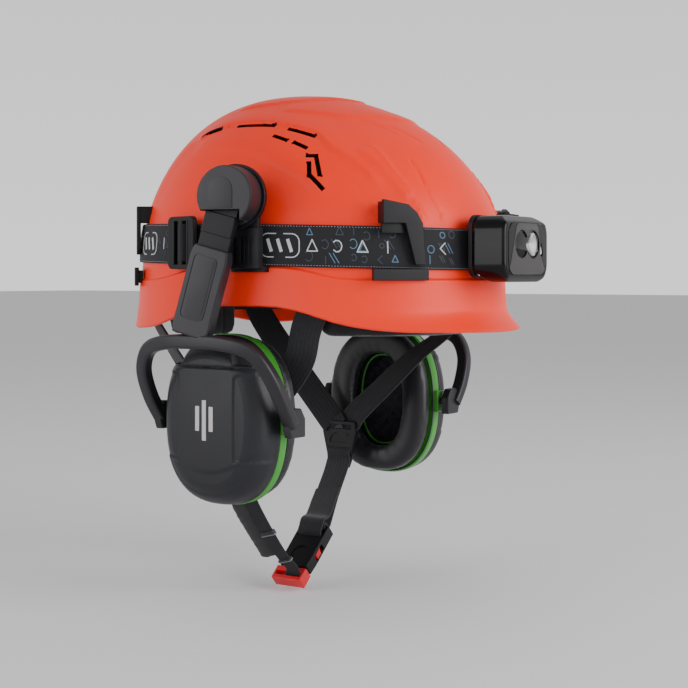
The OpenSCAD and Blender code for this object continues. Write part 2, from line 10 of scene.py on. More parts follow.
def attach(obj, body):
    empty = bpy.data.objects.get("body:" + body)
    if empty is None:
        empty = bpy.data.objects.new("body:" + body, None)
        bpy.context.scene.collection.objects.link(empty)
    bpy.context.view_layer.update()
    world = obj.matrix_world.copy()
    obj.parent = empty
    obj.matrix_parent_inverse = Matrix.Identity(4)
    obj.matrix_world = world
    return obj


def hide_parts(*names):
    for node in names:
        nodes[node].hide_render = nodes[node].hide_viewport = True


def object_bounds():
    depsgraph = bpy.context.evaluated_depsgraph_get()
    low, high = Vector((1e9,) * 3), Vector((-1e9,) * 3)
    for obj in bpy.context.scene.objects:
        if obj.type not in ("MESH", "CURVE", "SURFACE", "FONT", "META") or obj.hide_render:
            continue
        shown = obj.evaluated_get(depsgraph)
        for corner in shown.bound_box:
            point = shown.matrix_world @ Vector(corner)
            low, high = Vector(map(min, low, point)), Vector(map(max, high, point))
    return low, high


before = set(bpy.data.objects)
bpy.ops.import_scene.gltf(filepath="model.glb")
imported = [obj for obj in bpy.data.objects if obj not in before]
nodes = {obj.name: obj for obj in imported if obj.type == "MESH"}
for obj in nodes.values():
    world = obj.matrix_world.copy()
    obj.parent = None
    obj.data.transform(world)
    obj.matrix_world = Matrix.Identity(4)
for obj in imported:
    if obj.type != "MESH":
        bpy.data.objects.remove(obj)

# Forestry helmet with ear muffs, headlamp and chin strap. Sizes in this script are in
# millimetres, in the CAD frame (+Z up, -Y front, -X the wearer's right), and turn to metres
# where a mesh is made.
mm = 0.001
cadBox = [list(c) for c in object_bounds()]


# Camera, floor and light
def setStage():
    look = {"lens": 75.45, "place": (-0.8437, -0.5908, 0.0), "shift": (0.042, -0.099),
            "floorDrop": 0.002, "floorSize": 30.0, "key": 24.0, "fill": 11.0, "top": 2.5}
    scene = bpy.context.scene
    camera = bpy.data.objects.new("camera", bpy.data.cameras.new("camera"))
    scene.collection.objects.link(camera)
    camera.data.lens = look["lens"]
    camera.data.shift_x, camera.data.shift_y = look["shift"]
    camera.location = look["place"]
    camera.rotation_euler = (-Vector(look["place"])).to_track_quat("-Z", "Y").to_euler()
    scene.camera = camera

    floorZ = cadBox[0][2] - look["floorDrop"]
    half = look["floorSize"] / 2
    floor = bpy.data.objects.new("studioFloor", bpy.data.meshes.new("studioFloor"))
    floor.data.from_pydata([(-half, -half, floorZ), (half, -half, floorZ), (half, half, floorZ),
                            (-half, half, floorZ)], [], [(0, 1, 2, 3)])
    scene.collection.objects.link(floor)
    paper = bpy.data.materials.new("matt white studio paper")
    paper.use_nodes = True
    # clear from below, so that the underside can be looked at
    tree = paper.node_tree
    shader = tree.nodes["Principled BSDF"]
    mix = tree.nodes.new("ShaderNodeMixShader")
    tree.links.new(tree.nodes.new("ShaderNodeNewGeometry").outputs["Backfacing"], mix.inputs[0])
    tree.links.new(shader.outputs[0], mix.inputs[1])
    tree.links.new(tree.nodes.new("ShaderNodeBsdfTransparent").outputs[0], mix.inputs[2])
    tree.links.new(mix.outputs[0], tree.nodes["Material Output"].inputs[0])
    shader.inputs["Base Color"].default_value = (0.86, 0.86, 0.87, 1)
    shader.inputs["Roughness"].default_value = 0.9
    floor.data.materials.append(paper)

    world = bpy.data.worlds.new("studio")
    scene.world = world
    world.use_nodes = True
    # bright walls all round and a darker ceiling
    sky = world.node_tree
    sky.nodes["Background"].inputs["Color"].default_value = (1, 1, 1, 1)
    split = sky.nodes.new("ShaderNodeSeparateXYZ")
    sky.links.new(sky.nodes.new("ShaderNodeTexCoord").outputs["Generated"], split.inputs[0])
    fade = sky.nodes.new("ShaderNodeMapRange")
    for key, value in (("From Min", 0.0), ("From Max", 0.9), ("To Min", 1.15), ("To Max", 0.35)):
        fade.inputs[key].default_value = value
    sky.links.new(split.outputs[2], fade.inputs["Value"])
    sky.links.new(fade.outputs[0], sky.nodes["Background"].inputs["Strength"])
    lamps = [("keyLight", (0.15, -1.6, 0.45), 1.2, look["key"]),
             ("fillLight", (-1.6, 0.7, 0.35), 1.2, look["fill"]),
             ("topLight", (0.35, 0.1, 1.7), 1.3, look["top"])]
    for name, place, size, power in lamps:
        light = bpy.data.lights.new(name, "AREA")
        light.size = size
        light.energy = power
        lamp = bpy.data.objects.new(name, light)
        lamp.location = place
        lamp.rotation_euler = (-Vector(place)).to_track_quat("-Z", "Y").to_euler()
        scene.collection.objects.link(lamp)
    print("stage: camera, floor and lights are set")


setStage()


# Materials
def hexColour(code):
    channels = [int(code[i:i + 2], 16) / 255 for i in (0, 2, 4)]
    return tuple(c / 12.92 if c <= 0.04045 else ((c + 0.055) / 1.055) ** 2.4 for c in channels) + (1,)


def addNode(mat, kind, inputs=None, **settings):
    # one node with its settings, its fixed values and its links
    node = mat.node_tree.nodes.new("ShaderNode" + kind)
    for key, value in settings.items():
        setattr(node, key, value)
    for key, value in (inputs or {}).items():
        if isinstance(value, bpy.types.NodeSocket):
            mat.node_tree.links.new(value, node.inputs[key])
        else:
            node.inputs[key].default_value = value
    return node


def emptyMaterial(name):
    mat = bpy.data.materials.new(name)
    mat.use_nodes = True
    mat.node_tree.nodes.clear()
    return mat


def closeMaterial(mat, shader):
    addNode(mat, "OutputMaterial", {"Surface": shader.outputs[0]})
    return mat


def mouldedPlastic(name, colour, shade, roughness, grain=0.5, grainDepth=0.02, spread=0.06, coat=0.0,
                   wear=0.0, patch=28.0, mask=None, shine=0.5):
    # moulded part: a fine tool grain, slow clouding of the colour and rubbed, paler edges
    mat = emptyMaterial(name)
    place = addNode(mat, "TexCoord").outputs["Object"]
    cloud = addNode(mat, "TexNoise", {"Vector": place, "Scale": 1000 / patch, "Detail": 3.0})
    fine = addNode(mat, "TexNoise", {"Vector": place, "Scale": 1000 / grain, "Detail": 2.0})
    tone = addNode(mat, "Mix", {0: cloud.outputs[0], 6: hexColour(colour), 7: hexColour(shade)},
                   data_type="RGBA")
    edge = addNode(mat, "MapRange", {"Value": addNode(mat, "NewGeometry").outputs["Pointiness"],
                                     "From Min": 0.53, "From Max": 0.62, "To Max": wear})
    paler = addNode(mat, "Mix", {0: edge.outputs[0], 6: tone.outputs[2], 7: hexColour("c9c6c4")},
                    data_type="RGBA")
    rough = addNode(mat, "MapRange", {"Value": cloud.outputs[0], "To Min": roughness - spread,
                                      "To Max": roughness + spread})
    height = fine.outputs[0]
    if mask:
        # coarser leather-like grain where the part's own attribute says so
        coarse = addNode(mat, "TexNoise", {"Vector": place, "Scale": 1000 / 0.9, "Detail": 1.0})
        area = addNode(mat, "Attribute", attribute_name=mask)
        height = addNode(mat, "Mix", {0: area.outputs["Fac"], 2: fine.outputs[0],
                                      3: coarse.outputs[0]}).outputs[0]
        depth = addNode(mat, "MapRange", {"Value": area.outputs["Fac"], "To Min": 0.12, "To Max": 0.5})
        bump = addNode(mat, "Bump", {"Height": height, "Distance": grainDepth * mm * 4,
                                     "Strength": depth.outputs[0]})
    else:
        bump = addNode(mat, "Bump", {"Height": height, "Distance": grainDepth * mm, "Strength": 0.6})
    return closeMaterial(mat, addNode(mat, "BsdfPrincipled", {
        "Base Color": paler.outputs[2], "Roughness": rough.outputs[0], "IOR": 1.5,
        "Specular IOR Level": shine, "Coat Weight": coat, "Coat Roughness": 0.25,
        "Normal": bump.outputs[0]}))


def brushedMetal(name, colour, roughness, scratch=0.15):
    # turned or drawn steel: fine random scratches that widen the highlight
    mat = emptyMaterial(name)
    place = addNode(mat, "TexCoord").outputs["Object"]
    lines = addNode(mat, "TexNoise", {"Vector": place, "Scale": 1000 / scratch, "Detail": 2.0})
    rough = addNode(mat, "MapRange", {"Value": lines.outputs[0], "To Min": roughness * 0.7,
                                      "To Max": roughness * 1.4})
    bump = addNode(mat, "Bump", {"Height": lines.outputs[0], "Distance": 0.01 * mm, "Strength": 0.4})
    return closeMaterial(mat, addNode(mat, "BsdfPrincipled", {
        "Base Color": hexColour(colour), "Metallic": 1.0, "Roughness": rough.outputs[0],
        "Normal": bump.outputs[0]}))


def wovenBand(name, warp, weft, pitch, rib, depth, sheen=0.15, slant=1.1):
    # woven tape on its UV map in metres: ribs across at the pick spacing, threads along it
    mat = emptyMaterial(name)
    split = addNode(mat, "SeparateXYZ", {0: addNode(mat, "UVMap").outputs[0]})
    across = addNode(mat, "Math", {0: split.outputs[0], 1: 2 * math.pi / (pitch * mm)},
                     operation="MULTIPLY")
    along = addNode(mat, "Math", {0: split.outputs[1], 1: 2 * math.pi / (rib * mm)},
                    operation="MULTIPLY")
    shift = addNode(mat, "Math", {0: along.outputs[0]}, operation="SINE")
    lean = addNode(mat, "Math", {0: shift.outputs[0], 1: slant, 2: across.outputs[0]},
                   operation="MULTIPLY_ADD")
    pick = addNode(mat, "Math", {0: lean.outputs[0]}, operation="SINE")
    mixed = addNode(mat, "Math", {0: shift.outputs[0], 1: slant, 2: pick.outputs[0]},
                    operation="MULTIPLY_ADD")
    height = addNode(mat, "MapRange", {"Value": mixed.outputs[0], "From Min": -2.0, "From Max": 2.0})
    fuzz = addNode(mat, "TexNoise", {"Vector": addNode(mat, "TexCoord").outputs["Object"],
                                     "Scale": 1000 / 0.7, "Detail": 3.0})
    both = addNode(mat, "Math", {0: fuzz.outputs[0], 1: 0.45, 2: height.outputs[0]},
                   operation="MULTIPLY_ADD")
    tone = addNode(mat, "Mix", {0: height.outputs[0], 6: hexColour(warp), 7: hexColour(weft)},
                   data_type="RGBA")
    bump = addNode(mat, "Bump", {"Height": both.outputs[0], "Distance": depth * mm, "Strength": 0.8})
    return closeMaterial(mat, addNode(mat, "BsdfPrincipled", {
        "Base Color": tone.outputs[2], "Roughness": 0.78, "IOR": 1.5, "Sheen Weight": sheen,
        "Sheen Roughness": 0.5, "Normal": bump.outputs[0]}))


def softCover(name, colour, shade, cell, depth, roughness, sheen, weave=False):
    # cover of a pad: leatherette cells or a knitted cloth, with slow wear of the tone
    mat = emptyMaterial(name)
    place = addNode(mat, "TexCoord").outputs["Object"]
    cells = addNode(mat, "TexVoronoi", {"Vector": place, "Scale": 1000 / cell},
                    feature="F1" if weave else "DISTANCE_TO_EDGE")
    cloud = addNode(mat, "TexNoise", {"Vector": place, "Scale": 1000 / 16, "Detail": 4.0})
    tone = addNode(mat, "Mix", {0: cloud.outputs[0], 6: hexColour(colour), 7: hexColour(shade)},
                   data_type="RGBA")
    rough = addNode(mat, "MapRange", {"Value": cloud.outputs[0], "To Min": roughness - 0.08,
                                      "To Max": roughness + 0.08})
    bump = addNode(mat, "Bump", {"Height": cells.outputs[0], "Distance": depth * mm, "Strength": 0.5})
    return closeMaterial(mat, addNode(mat, "BsdfPrincipled", {
        "Base Color": tone.outputs[2], "Roughness": rough.outputs[0], "IOR": 1.5,
        "Sheen Weight": sheen, "Sheen Roughness": 0.45, "Normal": bump.outputs[0]}))


def openFoam(name, colour, shade, cell, depth):
    # foam or expanded beads: dark pores between paler walls, the dark being painted shade in the hollows of
    # the bump
    mat = emptyMaterial(name)
    place = addNode(mat, "TexCoord").outputs["Object"]
    cells = addNode(mat, "TexVoronoi", {"Vector": place, "Scale": 1000 / cell})
    # the shade colour is painted shade, laid where the cells' edges sink in the bump
    tone = addNode(mat, "Mix", {0: cells.outputs[0], 6: hexColour(colour), 7: hexColour(shade)},
                   data_type="RGBA")
    bump = addNode(mat, "Bump", {"Height": cells.outputs[0], "Distance": depth * mm, "Strength": 0.9})
    bump.invert = True
    return closeMaterial(mat, addNode(mat, "BsdfPrincipled", {
        "Base Color": tone.outputs[2], "Roughness": 0.93, "IOR": 1.45, "Normal": bump.outputs[0]}))


paint = {
    # injection-moulded ABS, satin from the tool: even orange with a broad soft highlight
    "orangeAbs": mouldedPlastic("satin moulded orange ABS", "ff2e00", "f92800", 0.44, 0.45, 0.012,
                                0.04, 0.0, 0.0, 60.0, shine=0.32),
    # nylon 6, moulded: near black with a dull shine
    "blackNylon": mouldedPlastic("moulded black nylon", "0f0f13", "0b0b0f", 0.46, 0.6, 0.02, shine=0.28),
    # glass-filled polyamide of the muff arms: dark warm grey, satin
    "armPolyamide": mouldedPlastic("satin grey polyamide", "242227", "1e1c21", 0.4, 0.5, 0.02, 0.05,
                                   0.05, shine=0.35),
    # spark-eroded ABS of the cups: fine matt grain, coarser on the grip panels
    "cupAbs": mouldedPlastic("spark-eroded charcoal ABS", "212127", "1c1c21", 0.44, 0.5, 0.03, 0.05,
                             0.03, 0.0, 24.0, "gripGrain", 0.32),
    # polypropylene ring: milky green, semi-gloss
    "greenRing": mouldedPlastic("semi-gloss green polypropylene", "3f9430", "37862a", 0.36, 0.7, 0.012),
    # acetal of the buckle: clear red, slick
    "redAcetal": mouldedPlastic("slick red acetal", "cf1420", "bd101b", 0.34, 0.6, 0.012),
    # smoked polycarbonate of the lamp's sides: almost black, clear gloss
    "smokedShell": mouldedPlastic("glossy smoked polycarbonate", "08080b", "050507", 0.16, 1.2, 0.004,
                                  0.04, 0.0, 0.0, 14.0, shine=0.22),
    # satin painted face of the lamp
    "lampFace": mouldedPlastic("satin grey-brown lamp face", "302c2d", "282526", 0.34, 0.5, 0.012),
    # rubber-like over-moulding of the button and knob
    "softRubber": mouldedPlastic("matt black elastomer", "111114", "0d0d0f", 0.68, 0.8, 0.03, shine=0.3),
    "mirrorChrome": brushedMetal("vacuum-metallised reflector", "f4f5f8", 0.32, 1.6),
    "pinSteel": brushedMetal("turned stainless steel pin", "b9bbbd", 0.3),
    "whitePrint": mouldedPlastic("pale pad-printed ink", "c9c4c6", "bdb8bb", 0.55, 0.4, 0.01),
    "blueThread": mouldedPlastic("pale blue woven-in thread", "5f7f9a", "4c6a84", 0.75, 0.35, 0.05),
    "greyThread": mouldedPlastic("grey woven-in thread", "3f4550", "343a45", 0.75, 0.35, 0.05),
    "whiteThread": mouldedPlastic("white woven-in thread", "c9ccd0", "b4b8bd", 0.72, 0.35, 0.05),
    # reflective thread of the keepers
    "keeperThread": mouldedPlastic("grey keeper thread", "7c7e86", "6a6c74", 0.6, 0.3, 0.05),
    "ledPhosphor": mouldedPlastic("yellow LED phosphor", "c9a83a", "b3922c", 0.5, 0.3, 0.01),
    "paleLens": mouldedPlastic("milky indicator lens", "cfd0bd", "bfc0ab", 0.25, 0.5, 0.005),
    "circuitGreen": mouldedPlastic("solder-resist green", "1f5a38", "184a2d", 0.4, 0.8, 0.02),
    "batteryWrap": mouldedPlastic("blue battery shrink wrap", "2b4f9e", "234387", 0.3, 0.8, 0.01),
    # polyester harness webbing: 1.3 mm picks, drawn a little coarse so that they show
    "harnessWebbing": wovenBand("black polyester webbing", "0c0c10", "1b1b22", 1.3, 2.6, 0.22),
    # elastic tape: fine upright ribs, 1 mm apart, with a rubber core
    "elasticTape": wovenBand("black ribbed elastic", "07070c", "11111a", 1.0, 1.6, 0.12, 0.04, 0.2),
    # leatherette of the ear cushions: 1 mm cells, soft shine
    "leatherette": softCover("black leatherette", "1b1a1f", "151419", 1.0, 0.06, 0.42, 0.1),
    # brushed knit of the pads
    "padKnit": softCover("black brushed knit", "0f0f12", "16161a", 1.1, 0.25, 0.85, 0.3, True),
    "smoothSleeve": softCover("black laminated sleeve", "141418", "0f0f12", 0.9, 0.1, 0.6, 0.15),
    # the second colour of each foam is painted shade in its pores
    "acousticFoam": openFoam("black open-cell foam", "34343b", "17171b", 1.4, 0.5),
    "linerFoam": openFoam("charcoal expanded polystyrene", "131316", "0c0c0e", 3.2, 0.35),
}


# Mesh helpers
def blockFrom(points, faces, uvs=None):
    # a bmesh from points in millimetres and faces; uvs are one pair for each point
    bm = bmesh.new()
    verts = [bm.verts.new(p) for p in points]
    for face in faces:
        bm.faces.new([verts[i] for i in face])
    if uvs is not None:
        layer = bm.loops.layers.uv.new("UVMap")
        for i, vert in enumerate(verts):
            for loop in vert.link_loops:
                loop[layer].uv = uvs[i]
    return bm


def softenEdges(bm, width, segments=2, angle=30):
    # rounds every edge sharper than the angle
    bm.normal_update()
    sharp = [e for e in bm.edges if len(e.link_faces) == 2 and e.calc_face_angle(0) > math.radians(angle)]
    if width > 0 and sharp:
        bmesh.ops.bevel(bm, geom=sharp, offset=width, offset_type="OFFSET", segments=segments,
                        profile=0.7, affect="EDGES", clamp_overlap=True)
    return bm


def prism(outline, low, high, axis="z", bevel=0.4, segments=2, angle=30):
    # an outline drawn in the two axes other than axis, from low to high along it
    n = len(outline)
    lay = {"x": lambda a, b, h: (h, a, b), "y": lambda a, b, h: (a, h, b), "z": lambda a, b, h: (a, b, h)}
    points = [lay[axis](a, b, h) for h in (low, high) for a, b in outline]
    faces = [tuple(range(n - 1, -1, -1)), tuple(range(n, 2 * n))]
    faces += [(i, (i + 1) % n, n + (i + 1) % n, n + i) for i in range(n)]
    bm = blockFrom(points, faces)
    bmesh.ops.recalc_face_normals(bm, faces=bm.faces)
    return softenEdges(bm, bevel, segments, angle)


def box(low, high, bevel=0.4, segments=2):
    return prism([(low[0], low[1]), (high[0], low[1]), (high[0], high[1]), (low[0], high[1])],
                 low[2], high[2], "z", bevel, segments)


def circle(r, n=48, centre=(0, 0)):
    return [(centre[0] + r * math.cos(2 * math.pi * i / n), centre[1] + r * math.sin(2 * math.pi * i / n))
            for i in range(n)]


def rod(r, low, high, axis="y", bevel=0.3, n=32, centre=(0, 0)):
    return prism(circle(r, n, centre), low, high, axis, bevel)


def roundRect(w, h, r, n=6, centre=(0, 0)):
    points = []
    for sx, sy, start in ((1, 1, 0), (-1, 1, 90), (-1, -1, 180), (1, -1, 270)):
        for i in range(n + 1):
            a = math.radians(start + 90 * i / n)
            points.append((centre[0] + sx * (w / 2 - r) + r * math.cos(a),
                           centre[1] + sy * (h / 2 - r) + r * math.sin(a)))
    return points


def power(v, p):
    return np.sign(v) * np.abs(v) ** p


def oval(halfW, halfH, n=96, p=2.4):
    a = 2 * np.pi * np.arange(n) / n
    return np.stack([halfW * power(np.cos(a), 2 / p), halfH * power(np.sin(a), 2 / p)], 1)


def loft(rings, closed=False):
    # skin through rings of points; closed joins the last ring to the first, or else both ends are capped
    rings = np.asarray(rings, float)
    m, n = rings.shape[:2]
    faces = []
    for i in range(m if closed else m - 1):
        k = (i + 1) % m
        for j in range(n):
            faces.append((i * n + j, i * n + (j + 1) % n, k * n + (j + 1) % n, k * n + j))
    if not closed:
        faces.append(tuple(range(n - 1, -1, -1)))
        faces.append(tuple((m - 1) * n + j for j in range(n)))
    bm = blockFrom(rings.reshape(-1, 3), faces)
    bmesh.ops.recalc_face_normals(bm, faces=bm.faces)
    return bm


def curve(points, parts):
    # Catmull-Rom curve through points
    p = np.asarray(points, float)
    out = []
    for i in range(len(p) - 1):
        a, b, c, d = p[max(i - 1, 0)], p[i], p[i + 1], p[min(i + 2, len(p) - 1)]
        for s in range(parts + (i == len(p) - 2)):
            u = s / parts
            out.append(0.5 * (2 * b + (c - a) * u + (2 * a - 5 * b + 4 * c - d) * u * u
                              + (3 * b - a - 3 * c + d) * u ** 3))
    return np.array(out)


def unit(v):
    v = np.asarray(v, float)
    return v / np.linalg.norm(v)


def sweep(path, outline, acrossA, acrossB, width=1.0, thick=1.0):
    # rings of an outline (across, through) along a path; across turns from acrossA to acrossB
    path = np.asarray(path, float)
    rings = []
    for i in range(len(path)):
        h = unit(path[min(i + 1, len(path) - 1)] - path[max(i - 1, 0)])
        u = i / (len(path) - 1)
        w0 = np.asarray(acrossA, float) * (1 - u) + np.asarray(acrossB, float) * u
        w = unit(w0 - (w0 @ h) * h)
        t = np.cross(h, w)
        rings.append([path[i] + w * a * width + t * b * thick for a, b in outline])
    return rings


def tapeOutline(width, thick, n=3):
    # flat tape with rounded selvedges
    w, t = width / 2, thick / 2
    side = [(w - t + t * math.cos(a), t * math.sin(a))
            for a in np.linspace(-math.pi / 2, math.pi / 2, 2 * n + 1)]
    mid = [(x, t) for x in np.linspace(w - t, -w + t, 7)[1:-1]]
    return side + mid + [(-a, -b) for a, b in side] + [(-a, -b) for a, b in mid]


def tape(points, width, thick, acrossA, acrossB, parts=14, outline=None):
    # webbing along a path with its own UV map in metres: along, across
    path = curve(points, parts)
    section = outline or tapeOutline(width, thick)
    rings = np.array(sweep(path, section, acrossA, acrossB))
    run = np.concatenate([[0], np.cumsum(np.linalg.norm(np.diff(path, axis=0), axis=1))])
    bm = loft(rings)
    layer = bm.loops.layers.uv.new("UVMap")
    bm.verts.ensure_lookup_table()
    bm.verts.index_update()
    n = len(section)
    for face in bm.faces:
        for loop in face.loops:
            i, j = divmod(loop.vert.index, n)
            loop[layer].uv = (run[i] * mm, section[j][0] * mm)
    return bm


def moved(bm, matrix):
    bmesh.ops.transform(bm, matrix=matrix, verts=bm.verts)
    if matrix.determinant() < 0:
        bmesh.ops.reverse_faces(bm, faces=bm.faces)
    return bm


mirrorX = Matrix.Diagonal((-1, 1, 1, 1))


def joinBlocks(blocks):
    # one mesh from several blocks; a block may be a pair (bmesh, material index)
    merged = bmesh.new()
    merged.loops.layers.uv.new("UVMap")
    for block in blocks:
        bm, index = block if isinstance(block, tuple) else (block, 0)
        if not bm.loops.layers.uv:
            bm.loops.layers.uv.new("UVMap")
        for face in bm.faces:
            face.material_index = index
        part = bpy.data.meshes.new("part")
        bm.to_mesh(part)
        bm.free()
        merged.from_mesh(part)
        bpy.data.meshes.remove(part)
    return merged


def meshObject(name, bm, materials, smooth=35):
    mesh = bpy.data.meshes.new(name)
    bmesh.ops.scale(bm, vec=(mm, mm, mm), verts=bm.verts)
    bm.to_mesh(mesh)
    bm.free()
    for material in materials:
        mesh.materials.append(paint[material])
    mesh.shade_smooth()
    mesh.set_sharp_from_angle(angle=math.radians(smooth))
    piece = bpy.data.objects.new(name, mesh)
    bpy.context.scene.collection.objects.link(piece)
    return piece


def addPiece(name, blocks, materials, body, replaced=(), smooth=35):
    bm = joinBlocks(blocks) if isinstance(blocks, list) else blocks
    piece = meshObject(name, bm, materials, smooth)
    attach(piece, body)
    if replaced:
        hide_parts(*replaced)
    return piece


def boolean(bm, cutters, operation="DIFFERENCE"):
    # cuts with Blender's exact solver; everything stays in millimetres
    def asObject(block):
        mesh = bpy.data.meshes.new("tool")
        block.to_mesh(mesh)
        block.free()
        item = bpy.data.objects.new("tool", mesh)
        bpy.context.scene.collection.objects.link(item)
        return item
    base = asObject(bm)
    tools = [asObject(c) for c in cutters]
    for tool in tools:
        step = base.modifiers.new("cut", "BOOLEAN")
        step.operation = operation
        step.solver = "EXACT"
        step.object = tool
    result = bpy.data.meshes.new_from_object(base.evaluated_get(bpy.context.evaluated_depsgraph_get()))
    out = bmesh.new()
    out.from_mesh(result)
    bpy.data.meshes.remove(result)
    for item in [base, *tools]:
        old = item.data
        bpy.data.objects.remove(item)
        bpy.data.meshes.remove(old)
    return out


def smoothStep(low, high, v):
    u = np.clip((v - low) / (high - low), 0, 1)
    return u * u * (3 - 2 * u)


# Shell and liner
dome = {
    "halfW": 109.5, "halfL": 134.5, "height": 128, "wall": 3.0, "step": 1.8, "planPower": 2.15,
    "sidePower": 2.1, "middleY": -3.5, "crownBack": 15,
    "rim": [(0, -36), (35, -35), (46, -33.5), (58, -29), (65, -23), (74, -18.8), (94, -18.8),
            (107, -27), (118, -34), (140, -36.5), (160, -29), (180, -25)],
    "skirtTop": [(0, -3), (56, -3), (68, 4), (76, 5), (98, 5), (107, 1), (117, -3), (180, -5)],
    "vents": [((67, 48, 97), (68, 32, 101)), ((69, 15, 102), (70, -15, 101)),
              ((71, -29, 98), (70, -48, 92)), ((77, -21, 93), (78, -31, 90)),
              ((78, -38, 88), (78, -47, 84)), ((81, -51, 78), (79, -56, 78)),
              ((79, -56, 78), (85, -63, 65)), ((84, -54, 73), (88, -57, 65)),
              ((88, -57, 65), (88, -67, 56))],
}


def evenAngle(t):
    a = np.abs(np.mod(t, 360))
    return np.where(a > 180, 360 - a, a)


def softLine(t, line):
    xs, ys = [p[0] for p in line], [p[1] for p in line]
    at = lambda s: np.interp(evenAngle(s), xs, ys)
    return (at(t - 5) + 2 * at(t) + at(t + 5)) / 4


def domePoint(t, z, inset=0.0, trim=1.0):
    # t degrees from the front towards the left, z high, moved inwards by inset
    t, z = np.broadcast_arrays(np.asarray(t, float), np.asarray(z, float))
    c, s = np.cos(np.radians(t)), np.sin(np.radians(t))
    high = np.clip(z / (dome["height"] - inset), 0, 1)
    narrowing = (1 - high ** dome["sidePower"]) ** (1 / dome["sidePower"])
    k = np.where(z > 0, narrowing, 1 + 0.02 * (z / 33) ** 2)
    brim = 9 * np.maximum(c, 0) ** 2.5 * np.clip((-z - 22) / 13, 0, 1) ** 1.5
    skirt = dome["step"] * np.clip((z - softLine(t, dome["skirtTop"])) / 1.5, 0, 1) * np.clip((42 - z) / 30,
                                                                                              0, 1)
    out = brim - trim * skirt
    x = (dome["halfW"] - inset) * k * power(s, 2 / dome["planPower"]) + out * s
    y = (dome["middleY"] + dome["crownBack"] * np.clip(z / dome["height"], 0, 1) ** 3
         - (dome["halfL"] - inset) * k * power(c, 2 / dome["planPower"]) - out * c)
    return np.stack([x, y, z], -1)


def domeRows(inset, skirtRows, domeRowCount, columns, top):
    t = 360 * np.arange(columns) / columns
    rim, step = softLine(t, dome["rim"]), softLine(t, dome["skirtTop"])
    rows = [domePoint(t, rim + (step - rim) * i / skirtRows, inset) for i in range(skirtRows + 1)]
    for i in range(domeRowCount):
        z0 = step + 1.5
        rows.append(domePoint(t, z0 + (dome["height"] - inset - z0)
                              * math.sin(math.radians(top * i / (domeRowCount - 1))), inset))
    return np.array(rows)


def gridNormals(rows):
    # outward normals of rows that run round the dome from the edge up
    du = np.roll(rows, -1, 1) - np.roll(rows, 1, 1)
    dv = np.gradient(rows, axis=0)
    n = np.cross(du, dv)
    return n / np.maximum(np.linalg.norm(n, axis=-1, keepdims=True), 1e-9)


# Lines moulded into the shell, on the left half: kind, height, width, fade, then the points
shellLines = [
    ("step", 1.3, 1.6, 20, [(69, 56, 92), (69, 50, 94), (68, 32, 102), (67, 15, 104), (68, 0, 104.5),
                            (69, -15, 102), (69, -30, 99), (68, -49, 92.5), (71.5, -62, 83), (70, -78, 73),
                            (68, -89, 64), (67, -99, 54)]),
    ("step", 1.1, 2.0, 26,
     [(49, 34, 118), (47, 10, 119.5), (43, -4, 119.5), (35, -20, 120), (11, -35, 121.5),
                            (0, -39, 121.5)]),
    ("step", 1.1, 2.0, 24, [(56, -8, 112), (53, -30, 110), (49, -45, 108), (42, -60, 105), (30, -67, 106),
                            (14, -73, 106), (0, -76, 106)]),
    ("ridge", 1.1, 2.0, 0, [(56, -78, 88), (53, -87, 81), (54, -100, 67), (52, -109, 56), (49, -122, 32)]),
    ("step", 1.1, 1.8, 14, [(49, -122, 32), (52, -109, 56), (54, -100, 67), (53, -87, 81), (56, -78, 88)]),
    ("groove", 1.1, 1.0, 0,
     [(38, -101, 78), (39, -108, 69), (40, -116, 57), (37, -123, 44), (36, -128, 32)]),
    ("groove", 0.9, 1.1, 0, [(42, -60, 105), (35, -74, 100), (29, -88, 93)]),
    ("groove", 0.8, 1.1, 0, [(29, -76, 101), (20, -90, 94), (14, -98, 88)]),
    ("step", 0.9, 5.0, 22,
     [(77, 52, 83), (82, 25, 86), (86, -4, 82), (90, -29, 73), (90, -51, 62), (89, -70, 49)]),
    ("step", 0.7, 1.4, 12, [(63, -74, 83), (62, -90, 71), (60, -101, 60), (56, -112, 47)]),
    ("groove", 0.6, 1.3, 0, [(76, -84, 58), (75, -92, 49), (74, -99, 39)]),
    ("step", 0.8, 3.0, 18, [(60, 60, 96), (70, 82, 70), (76, 92, 46)]),
    ("ridge", 0.9, 4.0, 0, [(20, 100, 90), (24, 116, 66), (26, 124, 44)]),
]


def lineField(points, normals, line):
    # signed distance to a line drawn on the surface, and how far along it each point is, 0 to 1
    line = curve(line, 4)
    best = np.full(len(points), 1e9)
    signed = np.zeros(len(points))
    along = np.zeros(len(points))
    lengths = np.concatenate([[0], np.cumsum(np.linalg.norm(np.diff(line, axis=0), axis=1))])
    for i in range(len(line) - 1):
        a, d = line[i], line[i + 1] - line[i]
        u = np.clip(((points - a) @ d) / (d @ d), 0, 1)
        gap = points - a - u[:, None] * d
        dist = np.linalg.norm(gap, axis=1)
        near = dist < best
        side = np.sign(np.einsum("ij,ij->i", np.cross(d, gap), normals))
        best[near] = dist[near]
        signed[near] = (dist * side)[near]
        along[near] = ((lengths[i] + u * (lengths[i + 1] - lengths[i])) / lengths[-1])[near]
    return signed, along


def shellRelief(points, normals):
    # height of the moulded lines over the plain dome, the same on both halves
    flat = points.reshape(-1, 3) * np.array([1.0, 1.0, 1.0])
    nrm = normals.reshape(-1, 3).copy()
    left = flat[:, 0] < 0
    flat[left, 0] *= -1
    nrm[left, 0] *= -1
    height = np.zeros(len(flat))
    for kind, rise, width, fade, line in shellLines:
        signed, along = lineField(flat, nrm, line)
        ends = smoothStep(0, 0.1, along) * (1 - smoothStep(0.9, 1, along))
        if line[-1][0] == 0:
            ends = smoothStep(0, 0.1, along)
        if kind == "step":
            high = -signed
            height += rise * ends * smoothStep(-width / 2, width / 2,
                                               high) * (1 - smoothStep(width, fade, high))
        else:
            sign = 1 if kind == "ridge" else -1
            height += sign * rise * ends * np.exp(-(signed / width) ** 2)
    return height.reshape(points.shape[:2])


